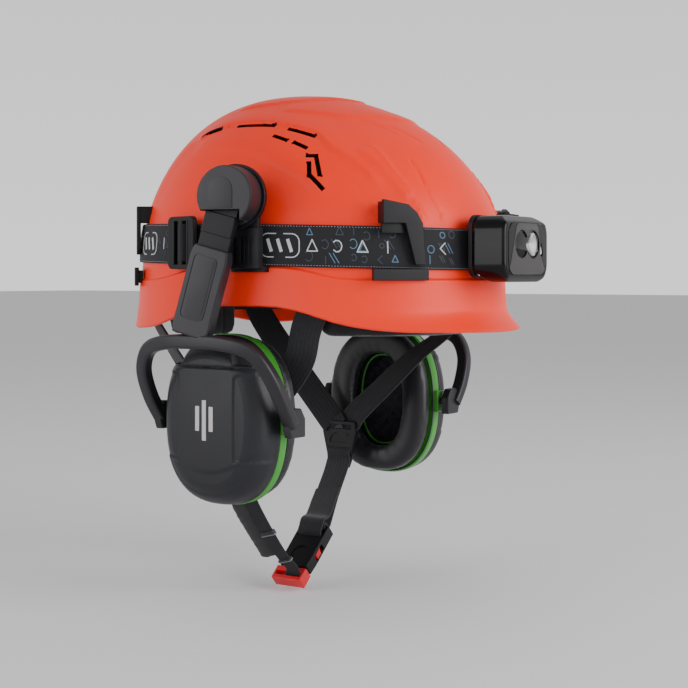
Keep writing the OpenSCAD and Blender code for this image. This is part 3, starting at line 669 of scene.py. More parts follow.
def ventFrame(a, b):
    # start of a vent slot with its directions: along, across and out of the shell
    a, b = np.array(a, float), np.array(b, float)
    n = unit((a + b) / 2 - np.array([0, 0, 25]))
    d = unit(b - a)
    n = unit(n - (n @ d) * d)
    return a, d, np.cross(n, d), n


def ventCutter(a, b, radius, depth):
    # a square-ended slot from one point to the next, right through the wall
    b = np.array(b, float)
    a, d, w, n = ventFrame(a, b)
    turn = Matrix((tuple(d), tuple(w), tuple(n))).transposed().to_4x4()
    length = np.linalg.norm(b - a)
    bm = box((-radius, -radius, -depth), (length + radius, radius, 7), 0.3)
    return moved(bm, Matrix.Translation(a) @ turn)


def makeShell():
    size = {"columns": 400, "skirtRows": 20, "rows": 104, "innerRows": 26, "ventRadius": 1.45}
    outer = domeRows(0, size["skirtRows"], size["rows"], size["columns"], 88.6)
    normals = gridNormals(outer)
    lift = shellRelief(outer, normals)
    lift *= smoothStep(18, 34, outer[..., 2])
    outer = outer + normals * lift[..., None]
    # a crisp fold where the skirt turns into the lip, and a soft round along the lower edge
    inner = domeRows(dome["wall"], 8, size["innerRows"], size["columns"], 87)[::-1]
    edge = (outer[0] + inner[-1]) / 2 - np.array([0, 0, 0.9])
    n = size["columns"]
    rows = np.concatenate([outer, inner, edge[None]])
    m, top = len(rows), len(outer) - 1
    poles = [(0, dome["middleY"] + dome["crownBack"], dome["height"]),
             (0, dome["middleY"] + dome["crownBack"], dome["height"] - dome["wall"])]
    faces = []
    for i in range(m):
        if i == top:
            continue
        k = (i + 1) % m
        for j in range(n):
            e = (j + 1) % n
            faces.append((i * n + j, i * n + e, k * n + e, k * n + j))
    for j in range(n):
        e = (j + 1) % n
        faces.append((top * n + j, top * n + e, m * n))
        faces.append(((top + 1) * n + e, (top + 1) * n + j, m * n + 1))
    bm = blockFrom(np.concatenate([rows.reshape(-1, 3), poles]), faces)
    bmesh.ops.recalc_face_normals(bm, faces=bm.faces)
    # two rounds of cutters, because slots that meet would lie in each other in one round
    for chosen in ((0, 1, 2, 3, 4, 5, 7), (6, 8)):
        cutters = []
        for a, b in [dome["vents"][i] for i in chosen]:
            for mirrored in (False, True):
                tool = ventCutter(a, b, size["ventRadius"], 9)
                cutters.append(moved(tool, mirrorX) if mirrored else tool)
        if 0 in chosen:
            for side in (1, -1):
                cutters.append(box((min(side * 98, side * 122), -38.5, 2.4),
                                   (max(side * 98, side * 122), -11.5, 6.6), 0.4))
        bm = boolean(bm, [joinBlocks(cutters)])
    # the slots' own walls are painted black: painted shade, as the orange walls lie in shadow down the slots
    centres = np.array([f.calc_center_median() for f in bm.faces])
    centres[:, 0] = np.abs(centres[:, 0])
    paintedShadeWalls = np.zeros(len(centres), bool)
    for a, b in dome["vents"]:
        a, d, w, n = ventFrame(a, b)
        gap = centres - a
        along, length = gap @ d, np.linalg.norm(np.array(b, float) - a)
        r = size["ventRadius"] + 0.04
        paintedShadeWalls |= (np.abs(gap @ w) < r) & (along > -r) & (along < length + r) & (np.abs(gap @ n) < 7)
    # material 1, the black nylon, is painted shade on the slot walls
    for face, inside in zip(bm.faces, paintedShadeWalls):
        face.material_index = int(inside)
    addPiece("shellSkin", bm, ["orangeAbs", "blackNylon"], "helmet", ["shell"], 40)
    print("shell: moulded skin with its vents")


def makeLiner():
    size = {"low": 10, "wall": 14, "gap": 0.9, "columns": 96, "rows": 26}
    def skin(inset, count):
        t = 360 * np.arange(size["columns"]) / size["columns"]
        top = dome["height"] - inset
        return [domePoint(t, np.full_like(t, size["low"] + (top - size["low"])
                                          * math.sin(math.radians(88 * i / (count - 1)))), inset)
                for i in range(count)]
    out = dome["wall"] + size["gap"]
    outer, inner = skin(out, size["rows"]), skin(out + size["wall"], size["rows"])[::-1]
    n, rows = size["columns"], np.array(outer + inner)
    m, top = len(rows), size["rows"] - 1
    faces = []
    for i in range(m):
        if i == top:
            continue
        for j in range(n):
            e, k = (j + 1) % n, (i + 1) % m
            faces.append((i * n + j, i * n + e, k * n + e, k * n + j))
    crownY = dome["middleY"] + dome["crownBack"]
    poles = [(0, crownY, dome["height"] - out), (0, crownY, dome["height"] - out - size["wall"])]
    for j in range(n):
        e = (j + 1) % n
        faces.append((top * n + j, top * n + e, m * n))
        faces.append(((top + 1) * n + e, (top + 1) * n + j, m * n + 1))
    bm = blockFrom(np.concatenate([rows.reshape(-1, 3), poles]), faces)
    bmesh.ops.recalc_face_normals(bm, faces=bm.faces)
    tools = []
    for a, b in dome["vents"][:3]:
        for mirrored in (False, True):
            tool = ventCutter(a, b, 3.2, 26)
            tools.append(moved(tool, mirrorX) if mirrored else tool)
    bm = boolean(bm, [joinBlocks(tools)])
    addPiece("foamLiner", bm, ["linerFoam"], "helmet", ["impact_liner"], 50)
    print("liner: expanded foam dome")


makeShell()
makeLiner()

# Repeats made with Geometry Nodes
def repeatTree():
    # small rounded items set out along a path; each item lies along the path with its top on "up"
    tree = bpy.data.node_groups.new("repeat along path", "GeometryNodeTree")
    face = tree.interface
    face.new_socket("Geometry", in_out="INPUT", socket_type="NodeSocketGeometry")
    for label in ("Spacing", "Item Length", "Item Width", "Item Height"):
        face.new_socket(label, in_out="INPUT", socket_type="NodeSocketFloat")
    face.new_socket("Finish", in_out="INPUT", socket_type="NodeSocketMaterial")
    face.new_socket("Geometry", in_out="OUTPUT", socket_type="NodeSocketGeometry")

    def add(kind, links=None, **settings):
        node = tree.nodes.new(kind)
        for key, value in settings.items():
            setattr(node, key, value)
        for key, value in (links or {}).items():
            if isinstance(value, bpy.types.NodeSocket):
                tree.links.new(value, node.inputs[key])
            else:
                node.inputs[key].default_value = value
        return node

    given = add("NodeGroupInput").outputs
    line = add("GeometryNodeMeshToCurve", {"Mesh": given["Geometry"]})
    points = add("GeometryNodeResampleCurve", {"Curve": line.outputs[0], "Length": given["Spacing"]},
                 mode="LENGTH")
    ball = add("GeometryNodeMeshIcoSphere", {"Radius": 0.5, "Subdivisions": 2})
    tangent = add("GeometryNodeInputTangent")
    top = add("GeometryNodeInputNamedAttribute", {"Name": "up"}, data_type="FLOAT_VECTOR")
    lie = add("FunctionNodeAlignRotationToVector", {"Vector": tangent.outputs[0]}, axis="X")
    turn = add("FunctionNodeAlignRotationToVector", {"Rotation": lie.outputs[0], "Vector": top.outputs[0]},
               axis="Z", pivot_axis="X")
    size = add("ShaderNodeCombineXYZ", {0: given["Item Length"], 1: given["Item Width"],
                                        2: given["Item Height"]})
    placed = add("GeometryNodeInstanceOnPoints", {"Points": points.outputs[0], "Instance": ball.outputs[0],
                                                  "Rotation": turn.outputs[0], "Scale": size.outputs[0]})
    real = add("GeometryNodeRealizeInstances", {0: placed.outputs[0]})
    smooth = add("GeometryNodeSetShadeSmooth", {0: real.outputs[0]})
    finish = add("GeometryNodeSetMaterial", {"Geometry": smooth.outputs[0], "Material": given["Finish"]})
    add("NodeGroupOutput", {0: finish.outputs[0]})
    return tree


repeatGroup = repeatTree()


def repeatPiece(name, paths, spacing, item, material, body):
    # paths: lists of (point, up) in millimetres; item: length, width, height of one
    points, ups, edges = [], [], []
    for path in paths:
        start = len(points)
        for point, up in path:
            points.append([c * mm for c in point])
            ups.append([float(c) for c in unit(up)])
        edges += [(i, i + 1) for i in range(start, len(points) - 1)]
    mesh = bpy.data.meshes.new(name + "Path")
    mesh.from_pydata(points, edges, [])
    attribute = mesh.attributes.new("up", "FLOAT_VECTOR", "POINT")
    attribute.data.foreach_set("vector", np.array(ups, np.float32).ravel())
    piece = bpy.data.objects.new(name, mesh)
    bpy.context.scene.collection.objects.link(piece)
    step = piece.modifiers.new("repeat", "NODES")
    step.node_group = repeatGroup
    values = {"Spacing": spacing * mm, "Item Length": item[0] * mm, "Item Width": item[1] * mm,
              "Item Height": item[2] * mm, "Finish": paint[material]}
    for socket in repeatGroup.interface.items_tree:
        if socket.in_out == "INPUT" and socket.name in values:
            step[socket.identifier] = values[socket.name]
    result = bpy.data.meshes.new_from_object(piece.evaluated_get(bpy.context.evaluated_depsgraph_get()))
    piece.modifiers.clear()
    old = piece.data
    piece.data = result
    result.name = name
    bpy.data.meshes.remove(old)
    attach(piece, body)
    return piece


# Lamp strap with its woven marks, clips and adjuster
strap = {"middle": 20.5, "dip": 3.5, "height": 27, "inside": 0.9, "outside": 2.3, "steps": 300}


def strapPoint(t, v, lift=0.0):
    t = np.asarray(t, float)
    z = strap["middle"] - strap["dip"] * np.cos(np.radians(t)) + v
    return domePoint(t, z, -(strap["outside"] + lift))


def domeFrame(t, z, right=False):
    place = Matrix.Translation(domePoint(t, z).tolist()) @ Matrix.Rotation(math.radians(t - 90), 4, "Z")
    return mirrorX @ place if right else place


def makeLampStrap():
    h, low, high = strap["height"] / 2, strap["inside"], strap["outside"]
    mid = (low + high) / 2
    section = [(v, high) for v in np.linspace(-h + 0.9, h - 0.9, 9)]
    section += [(h - 0.25, high - 0.3), (h, mid), (h - 0.25, low + 0.2)]
    section += [(v, low) for v in np.linspace(h - 0.9, -h + 0.9, 5)]
    section += [(-h + 0.25, low + 0.2), (-h, mid), (-h + 0.25, high - 0.3)]
    angles = 360 * np.arange(strap["steps"]) / strap["steps"]
    rings = np.stack([strapPoint(angles, v, off - high) for v, off in section], 1)
    run = np.concatenate([[0], np.cumsum(np.linalg.norm(np.diff(rings[:, 4], axis=0, append=rings[:1, 4]),
                                                        axis=1))])
    n, m = len(section), len(angles)
    bm = bmesh.new()
    layer = bm.loops.layers.uv.new("UVMap")
    verts = [[bm.verts.new(p) for p in ring] for ring in rings]
    for i in range(m):
        for j in range(n):
            k, e = (i + 1) % m, (j + 1) % n
            made = bm.faces.new((verts[i][j], verts[k][j], verts[k][e], verts[i][e]))
            for loop, (a, b) in zip(made.loops, ((i, j), (i + 1, j), (i + 1, e), (i, e))):
                loop[layer].uv = (run[a] * mm, section[b][0] * mm)
    bmesh.ops.recalc_face_normals(bm, faces=bm.faces)
    addPiece("elasticLampStrap", bm, ["elasticTape"], "helmet", ["lamp_strap"], 60)

    # where a run of so many millimetres from the front ends, as an angle
    fine = np.arange(0, 181, 1.0)
    line = strapPoint(fine, 0)
    reach = np.concatenate([[0], np.cumsum(np.linalg.norm(np.diff(line, axis=0), axis=1))])

    def ribbon(points, width, side, lift=0.14):
        # a thin raised thread along points given as (run, height) on the strap
        blocks, out = [], []
        for (s0, v0), (s1, v1) in zip(points[:-1], points[1:]):
            length = math.hypot(s1 - s0, v1 - v0)
            ds, dv = (s1 - s0) / length, (v1 - v0) / length
            es, ev = -dv * width / 2, ds * width / 2
            ext = width * 0.25
            corners = [(s0 - ds * ext + es, v0 - dv * ext + ev), (s0 - ds * ext - es, v0 - dv * ext - ev),
                       (s1 + ds * ext - es, v1 + dv * ext - ev), (s1 + ds * ext + es, v1 + dv * ext + ev)]
            pts = []
            for off in (-0.2, lift):
                for s, v in corners:
                    t = float(np.interp(s, reach, fine)) * side
                    pts.append(strapPoint(t, v, off).tolist())
            bm = blockFrom(pts, [(0, 1, 2, 3), (7, 6, 5, 4), (0, 4, 5, 1), (1, 5, 6, 2), (2, 6, 7, 3),
                                 (3, 7, 4, 0)])
            bmesh.ops.recalc_face_normals(bm, faces=bm.faces)
            out.append(bm)
        return out

    shapes = {
        "triangle": [[(-3, -3), (0, 3.4), (3, -3), (-3, -3)]],
        "arc": [[(2.6 * math.cos(a), 3.2 * math.sin(a)) for a in np.linspace(0.7, 2 * math.pi - 0.7, 9)]],
        "bar": [[(0, -3.2), (0, 3.2)]],
        "chevron": [[(-2, 3.2), (1.6, 0), (-2, -3.2)]],
        "ring": [[(2.4 * math.cos(a), 2.4 * math.sin(a)) for a in np.linspace(0, 2 * math.pi, 11)]],
        "slash": [[(-1.8, -3), (1.8, 3)], [(0.6, -3), (4.2, 3)]],
    }
    draw = random.Random(11)
    blocks = []
    for side in (-1, 1):
        for row in (8.4, 0.4, -7.6):
            for i in range(37):
                s = 36 + i * 8.6 + draw.uniform(-2.0, 2.0)
                kind = draw.choice(list(shapes))
                scale = draw.uniform(0.6, 1.05)
                v = row + draw.uniform(-1.5, 1.5)
                tone = draw.choices([0, 1, 2], [4, 8, 0.8])[0]
                keep = draw.random() < 0.95
                covered = (60 < s < 74 or abs(s - 152) < 17 or 166 < s < 194 or 214 < s < 248
                           or abs(s - 278) < 17)
                if not keep or covered or s > 350:
                    continue
                for stroke in shapes[kind]:
                    path = [(s + a * scale, v + b * scale) for a, b in stroke]
                    blocks += [(b, tone) for b in ribbon(path, 0.55, side)]
        for s, kind in ((44, "chevron"), (82, "bar"), (98, "triangle"), (114, "arc"), (130, "triangle"),
                        (204, "ring"), (254, "bar")):
            for stroke in shapes[kind]:
                blocks += [(b, 2) for b in ribbon([(s + a * 1.15, 0.2 + b * 1.15) for a, b in stroke], 0.7,
                                                  side, 0.2)]
        # plain outlined badge with three bars, in front of the muff's base and at the back
        for centre in (152, 278):
            outline = [(centre + a, b) for a, b in roundRect(27, 15, 5, 4)]
            outline.append(outline[0])
            for b in ribbon(outline, 0.7, side, 0.2):
                blocks.append((b, 2))
            for i in range(3):
                x = centre - 7 + 7 * i
                for b in ribbon([(x - 1.2, -3.6), (x + 1.2, 3.6)], 2.2, side, 0.22):
                    blocks.append((b, 2))
    addPiece("strapMarks", blocks, ["blueThread", "greyThread", "whiteThread"], "helmet")
    ring = np.linspace(0, 360, 361)
    paths = []
    for v in (h - 1.1, -h + 1.1):
        pts = strapPoint(ring, v, 0.02)
        out = strapPoint(ring, v, 1.0) - pts
        paths.append(list(zip(pts.tolist(), out.tolist())))
    repeatPiece("strapEdgeStitches", paths, 1.9, (0.8, 0.3, 0.2), "whiteThread", "helmet")
    print("lamp strap: elastic, marks and edge stitches")


def makeClips():
    hook = [(17, 32), (17, 17), (2, 17), (-5, -9), (-12, -9), (-10, 17), (-6, 24), (0, 29)]
    blocks = []
    for right in (False, True):
        place = domeFrame(35, 16, right)
        blocks.append(moved(prism(hook, 4.4, 8, "x", 0.7, 3), place))
        blocks.append(moved(prism([(-15, -11.6), (23, -11.6), (23, -19), (-15, -19)], 3, 6, "x", 0.7, 3),
                            place))
        blocks.append(moved(prism([(-3, 24), (16.8, 29), (16.8, 11), (-6, 11)], 2.7, 4.5, "x", 0.3), place))
        # thin stem under the hook that meets the shell above the strap
        blocks.append(moved(prism([(3.6, 29), (15.6, 31), (15.6, 17.5), (3.6, 17.5)], -5, 4.6, "x", 0.4),
                            place))
    addPiece("frontStrapClips", blocks, ["blackNylon"], "helmet", ["front_lamp_clips"])
    blocks = []
    for right in (False, True):
        place = domeFrame(136, 23, right)
        blocks.append(moved(prism([(-6, 26), (6, 26), (6, -4), (3, -8), (-3, -8), (-6, -4)], 3.2, 6, "x",
                                  0.6, 3), place))
        blocks.append(moved(prism([(-6, 26), (6, 26), (6, 14.4), (-6, 14.4)], -6, 3.3, "x", 0.3), place))
        blocks.append(moved(prism([(-8, -17), (8, -17), (5, -30), (-5, -30)], 4.6, 7.4, "x", 0.7, 3), place))
        blocks.append(moved(prism([(-5, -19), (5, -19), (3.4, -28), (-3.4, -28)], 1.6, 4.8, "x", 0.3),
                            place))
    addPiece("rearStrapClips", blocks, ["blackNylon"], "helmet", ["rear_lamp_clips"])
    frameBlock = prism(roundRect(28, 35, 4), 3.5, 7.4, "x", 0.9, 3)
    frameBlock = boolean(frameBlock,
                         [joinBlocks([box((2, y, -14.5), (9, y + 4, 14.5), 0.4) for y in (-6.5, 2.5)])])
    bars = [rod(1.0, -14.8, 14.8, "z", 0.3, 20, (6.9, y)) for y in (-7.6, -1.3, 7.4)]
    pieces = [moved(b, domeFrame(103, 22, True)) for b in [frameBlock, *bars]]
    addPiece("strapAdjuster", pieces, ["blackNylon"], "helmet", ["lamp_strap_adjuster"], 45)
    # the strap's fold round the adjuster's middle bar
    fold = [(4.6, -4.6), (6.2, -4.4), (8.1, -2.9), (8.3, -1.0), (8.0, 0.9), (6.2, 2.6), (4.6, 3.4)]
    path = [(x, y, 0) for x, y in fold]
    folded = moved(tape(path, 25, 1.1, (0, 0, 1), (0, 0, 1), 5), domeFrame(103, 22, True))
    addPiece("strapFold", [folded], ["elasticTape"], "helmet", (), 60)
    print("clips: front, rear and adjuster")


# Headlamp
lamp = {"back": -143.5, "middleZ": 17.5, "width": 62, "height": 43, "depth": 24, "tiltY": -147.5,
        "tiltZ": 1.5, "lugX": 22, "wall": 2.0}
lamp["front"] = lamp["back"] - lamp["depth"]


def makeHeadlamp():
    w, h, mid, front, back = lamp["width"], lamp["height"], lamp["middleZ"], lamp["front"], lamp["back"]
    # rounded outline, cut off above and below by the lamp's side view, from the back to the front
    ring = np.array(roundRect(w, h, 12, 14))
    rings = []
    for y, inset in [(back, 1.4), (back - 0.5, 0.5), (back - 1.6, 0)] + \
            [(v, 0) for v in np.linspace(back - 3, front + 2.2, 26)] + \
            [(front + 1.2, 0.25), (front + 0.5, 0.7), (front + 0.1, 1.4), (front, 2.2)]:
        top = mid + h / 2 - 5 * max(0, (front + 7 - y) / 7)
        low = mid - h / 2 + 3 * max(0, (front + 3 - y) / 3)
        low += (lamp["tiltZ"]
                + 2.5 - (mid - h / 2)) * max(0, (y - lamp["tiltY"] + 5.5) / (back - lamp["tiltY"] + 5.5))
        x, z = ring[:, 0] * (1 - 2 * inset / w), np.clip(ring[:, 1] + mid, low, top)
        rings.append(np.stack([x, np.full(len(ring), y), mid + (z - mid) * (1 - 2 * inset / h)], 1))
    body = loft(rings)
    tools = [prism(roundRect(w - 9, h - 9, 8.5, 8, (0, mid)), front - 2, front + 2.4, "y", 0)]
    for x in (-8.0, 8.0):
        tools.append(rod(9.2, front + 2, front + 9.2, "y", 0, 48, (x, mid + 3)))
    for tool in tools:
        body = boolean(body, [tool])
    lugs = [box((x - 2.5, lamp["tiltY"] - 4, -6), (x + 2.5, back + 1, lamp["tiltZ"] + 4.2), 0)
            for x in (-22, 22)]
    slot = box((-9.4, back - 14.4, 36.2), (9.4, back - 5.6, 42), 0)
    body = boolean(body, [joinBlocks([*lugs, slot])])
    addPiece("lampBody", body, ["smokedShell"], "lamp", ["lamp_housing"], 28)

    # satin face with a figure-eight recess, and a drop-shaped window at the wearer's left
    face = prism(roundRect(w - 9.6, h - 9.6, 8.2, 8, (0, mid)), front - 0.3, front + 2.1, "y", 0.9, 3)
    satin = prism([(-26, mid - 18), (26, mid - 18), (25.6, mid - 14), (20.5, mid - 7), (15.5, mid + 14),
                   (12.5, mid + 16.6),
                   (-12.5, mid + 16.6), (-15.5, mid + 14), (-23, mid - 8), (-25.6, mid - 14)], front - 0.5,
                  front + 0.6, "y", 0.3)
    satin = boolean(satin, [prism(roundRect(w - 9.8, h - 9.8, 8.1, 8, (0, mid)), front - 2, front + 3, "y",
                                  0)], "INTERSECT")
    drop = [(20.4 + 2.2 * math.cos(a), mid - 2.6 + 2.2 * math.sin(a))
            for a in np.linspace(math.pi, 2 * math.pi, 12)]
    drop += [(21.8, mid + 1.2), (20.6, mid + 4.6), (19.2, mid + 1.2)]
    parts = []
    for part, material in ((face, 1), (satin, 0)):
        for x in (-8.0, 8.0):
            part = boolean(part, [rod(9.2, front - 2, front + 4, "y", 0, 48, (x, mid + 3))])
        part = boolean(part, [prism(drop, front - 2, front + 0.9, "y", 0)])
        parts.append((part, material))
    addPiece("lampFacePlate", parts, ["lampFace", "smokedShell"], "lamp", ["lamp_front_cover"],
             30)
    inner = [(x * 0.62 + 20.5 * 0.38, z * 0.62 + (mid - 1) * 0.38) for x, z in drop]
    window = prism(inner, front + 0.2, front + 1.0, "y", 0.2)
    addPiece("lampIndicator", [window], ["paleLens"], "lamp")

    # bowls: a turned profile with facets, and an LED on its seat in each
    blocks = []
    for x in (-8.0, 8.0):
        profile = [(1.7, 7.6), (2.6, 6.4), (4.6, 4.0), (6.8, 2.0), (8.5, 0.6), (9.0, 0.1), (9.05, 8.4),
                   (1.7, 8.6)]
        rings = []
        for k in range(48):
            a = 2 * math.pi * k / 48
            rings.append([(x + r * math.cos(a), front + 0.9 + d, mid + 3 + r * math.sin(a)) for r,
                          d in profile])
        blocks.append((loft(rings, closed=True), 0))
        blocks.append((box((x - 1.5, front + 8.0, mid + 1.5), (x + 1.5, front + 9.4, mid + 4.5), 0.1), 1))
        blocks.append((rod(1.15, front + 7.2, front + 8.2, "y", 0.4, 20, (x, mid + 3)), 1))
    addPiece("lampBowls", blocks, ["mirrorChrome", "ledPhosphor"], "lamp", ["lamp_reflectors"],
             40)
    lens = prism([(a, b) for a, b in roundRect(34.2, 18.2, 9.0, 12, (0, mid + 3))], front + 0.35,
                 front + 0.75, "y", 0.1)
    clear = emptyMaterial("clear polycarbonate lens")
    gloss = addNode(clear, "BsdfGlossy", {"Roughness": 0.04, "Color": (1, 1, 1, 1)})
    pass_ = addNode(clear, "BsdfTransparent")
    share = addNode(clear, "LayerWeight", {"Blend": 0.25})
    closeMaterial(clear, addNode(clear, "MixShader", {0: share.outputs["Fresnel"], 1: pass_.outputs[0],
                                                      2: gloss.outputs[0]}))
    paint["clearLens"] = clear
    addPiece("lampLens", [lens], ["clearLens"], "lamp")
    button = box((-9, back - 14, 35.6), (9, back - 6, 40.2), 1.1, 3)
    ribs = [box((x - 0.5, back - 12.6, 39.9), (x + 0.5, back - 7.4, 40.5), 0.25)
            for x in (-5, -2.5, 0, 2.5, 5)]
    addPiece("lampPushButton", [button, *ribs], ["softRubber"], "lamp_button",
             ["lamp_button"])

    # bracket: a plate on the strap with two windows cut through it, and the lugs
    plate = [prism(roundRect(56, 41, 8, 8, (0, mid + 1.5)), -142.8, -139.4, "y", 0.8, 3)]
    lugBlocks = []
    for x in (-22, 22):
        lugBlocks.append(rod(3.4, x - 2, x + 2, "x", 0.4, 32, (lamp["tiltY"], lamp["tiltZ"])))
        lugBlocks.append(box((x - 2, lamp["tiltY"], 0), (x + 2, -141.5, 4.9), 0.4))
    windows = [box((x, -150, 3), (x + 3.5, -136, 33), 0.3) for x in (-25.5, 22)]
    bracket = boolean(joinBlocks(plate), [joinBlocks(windows)])
    addPiece("lampBracketPlate", [bracket, *lugBlocks], ["blackNylon"], "helmet",
             ["lamp_bracket"])
    print("headlamp: body, face, bowls, lens, button and bracket")


# Ear muffs, drawn on the left and mirrored
muff = {"hubFace": (135, -24.3, 50.6), "hubTurn": 12, "flipAt": (-8, 3, -6), "lean": 15, "out": -2.5,
        "hubR": 19.2, "pivotZ": -94, "pivotX": 97, "cupW": 44, "cupH": 56}
hubFrame = Matrix.Translation(muff["hubFace"]) @ Matrix.Rotation(math.radians(-muff["hubTurn"]), 4, "Z")
flipFrame = hubFrame @ Matrix.Translation(muff["flipAt"])
armFrame = (flipFrame @ Matrix.Rotation(math.radians(muff["out"]), 4, "Y")
            @ Matrix.Rotation(math.radians(muff["lean"]), 4, "X"))


def bothSides(name, make, materials, body, node=None, smooth=35):
    # make() gives the left one's blocks; the right one is its mirror image
    for side in ("left", "right"):
        blocks = make()
        blocks = blocks if isinstance(blocks, list) else [blocks]
        out = []
        for block in blocks:
            bm, index = block if isinstance(block, tuple) else (block, 0)
            out.append((moved(bm, mirrorX) if side == "right" else bm, index))
        where = body.format(side)
        piece = addPiece(side + name, out, materials, where,
                         [side + "_" + n for n in (node or ())], smooth)
        yield side, piece


def hubCapBlocks():
    cap = prism(circle(muff["hubR"], 96), -16, 0, "x", 1.3, 4)
    tools = [rod(4.06, -17, -10, "x", 0, 32), rod(7.3, -14.1, -10, "x", 0, 32),
             box((-12.3, -11, -26), (-3.2, 16.8, -0.8), 0), box((-5, -11, -26), (2, 16.8, -8.6), 0)]
    for tool in tools:
        cap = boolean(cap, [tool])
    # arched tongue over the slot
    arch = [(8.6 * math.cos(a) + 2.6, 3.4 + 8.6 * math.sin(a)) for a in np.linspace(0, math.pi, 24)]
    arch += [(-6.0, -8.0), (11.2, -8.0)]
    tongue = prism(arch, -1.0, 0.35, "x", 0.3, 2)
    return [moved(cap, hubFrame), moved(tongue, hubFrame)]


def adapterBlocks():
    disc = prism(circle(muff["hubR"] + 1.8, 96), -19.8, -16.4, "x", 0.8, 3)
    base = prism([(-38, 4.6), (-12, 4.6), (-12, 30.9), (-38, 30.9)], 111.6, 117, "x", 0.9, 3)
    base = boolean(base, [prism([(-34, 7), (-18, 7), (-18, 25), (-34, 25)], 116.2, 118, "x", 0)])
    collar = prism([(-36, 28), (-10, 28), (-10, 46), (-36, 46)], 111.6, 115, "x", 0.6)
    tongue = prism([(-38, 2.6), (-12, 2.6), (-12, 6.4), (-38, 6.4)], 104, 112, "x", 0.4)
    ribs = [box((116.2, y, 8.4), (117.0, y + 1.2, 23.6), 0.3) for y in (-31, -27.6, -24.2)]
    return [moved(disc, hubFrame), base, collar, tongue, *ribs]


def bladeBlocks():
    roll = moved(rod(3.9, -11, 11, "y", 0.4, 40), flipFrame)
    strip = moved(box((-2, -11, -62), (2, 11, 0), 0.5, 3), armFrame)
    # thicker neck between the hinge and the lever, short enough for the lever's highest place
    neck = moved(box((-3.3, -10.9, -19.4), (3.3, 10.9, -5.6), 0.9, 3), armFrame)
    return [roll, strip, neck]


def yokeBlocks():
    side = [(11.8, -28), (12.6, -30.5), (13.4, -34.5), (13.2, -52), (13.2, -70), (13.4, -80), (12.4, -86)]
    outline = side + [(-y, z) for y, z in reversed(side)]
    lever = prism(outline, -4.5, 4.5, "x", 1.5, 4)
    lever = boolean(lever, [box((-2.35, -11.35, -80), (2.35, 11.35, 0), 0)])
    pocket = prism(roundRect(17.5, 42, 3.6, 6, (1.0, -54.5)), 4.1, 6, "x", 0)
    lever = boolean(lever, [pocket])
    panel = prism(roundRect(16.3, 40.8, 3.2, 6, (1.0, -54.5)), 3.2, 4.42, "x", 0.25)
    half = [(135, 0, -42), (134, 24, -43), (130, 42, -48), (124, 52, -62), (114, 55, -80), (104, 54.4, -95)]
    path = [(x, -y, z) for x, y, z in reversed(half[1:])] + half
    bow = loft(sweep(curve(path, 10), roundRect(8.0, 9.4, 2.2, 5), (1, 0, 0), (1, 0, 0)))
    out = [moved(lever, armFrame), moved(panel, armFrame), bow]
    for s in (1, -1):
        wedge = [(91.6, -103), (106.5, -103), (108.5, -98), (108.5, -90), (104, -84), (96, -84.5),
                 (91.6, -91)]
        block = prism(wedge, 50.8, 56.8, "y", 1.2, 3)
        pin = rod(2.5, 42.5, 51.2, "y", 0.3, 28, (muff["pivotX"], muff["pivotZ"]))
        for bm in (block, pin):
            out.append(moved(bm, Matrix.Diagonal((1, s, 1, 1))))
    return out


def ringBand(outer, inner, x0, x1, round_, z):
    # oval ring with rounded edges, across X
    rings = []
    for o, i in zip(outer, inner):
        d = unit(o - i)
        section = [(x0 + round_, i), (x0, i + d * round_), (x0, o - d * round_), (x0 + round_, o),
                   (x1 - round_, o), (x1 - round_ * 0.3, o - d * round_ * 0.3), (x1, o - d * round_),
                   (x1, i + d * round_), (x1 - round_, i)]
        rings.append([(x, p[0], p[1] + z) for x, p in section])
    return loft(rings, closed=True)


def ringBlocks():
    w, h, z = muff["cupW"], muff["cupH"], muff["pivotZ"]
    band = ringBand(oval(w, h, 128), oval(w - 7, h - 7, 128), 93, 100.5, 0.9, z)
    out = [band]
    for s in (1, -1):
        boss = prism([(93, z - 8), (100.5, z - 8), (100.5, z + 8), (93, z + 8)], 40.5, 47, "y", 1.1, 3)
        boss = boolean(boss, [rod(2.56, 38, 60, "y", 0, 28, (muff["pivotX"], z))])
        out.append(moved(boss, Matrix.Diagonal((1, s, 1, 1))))
    return out


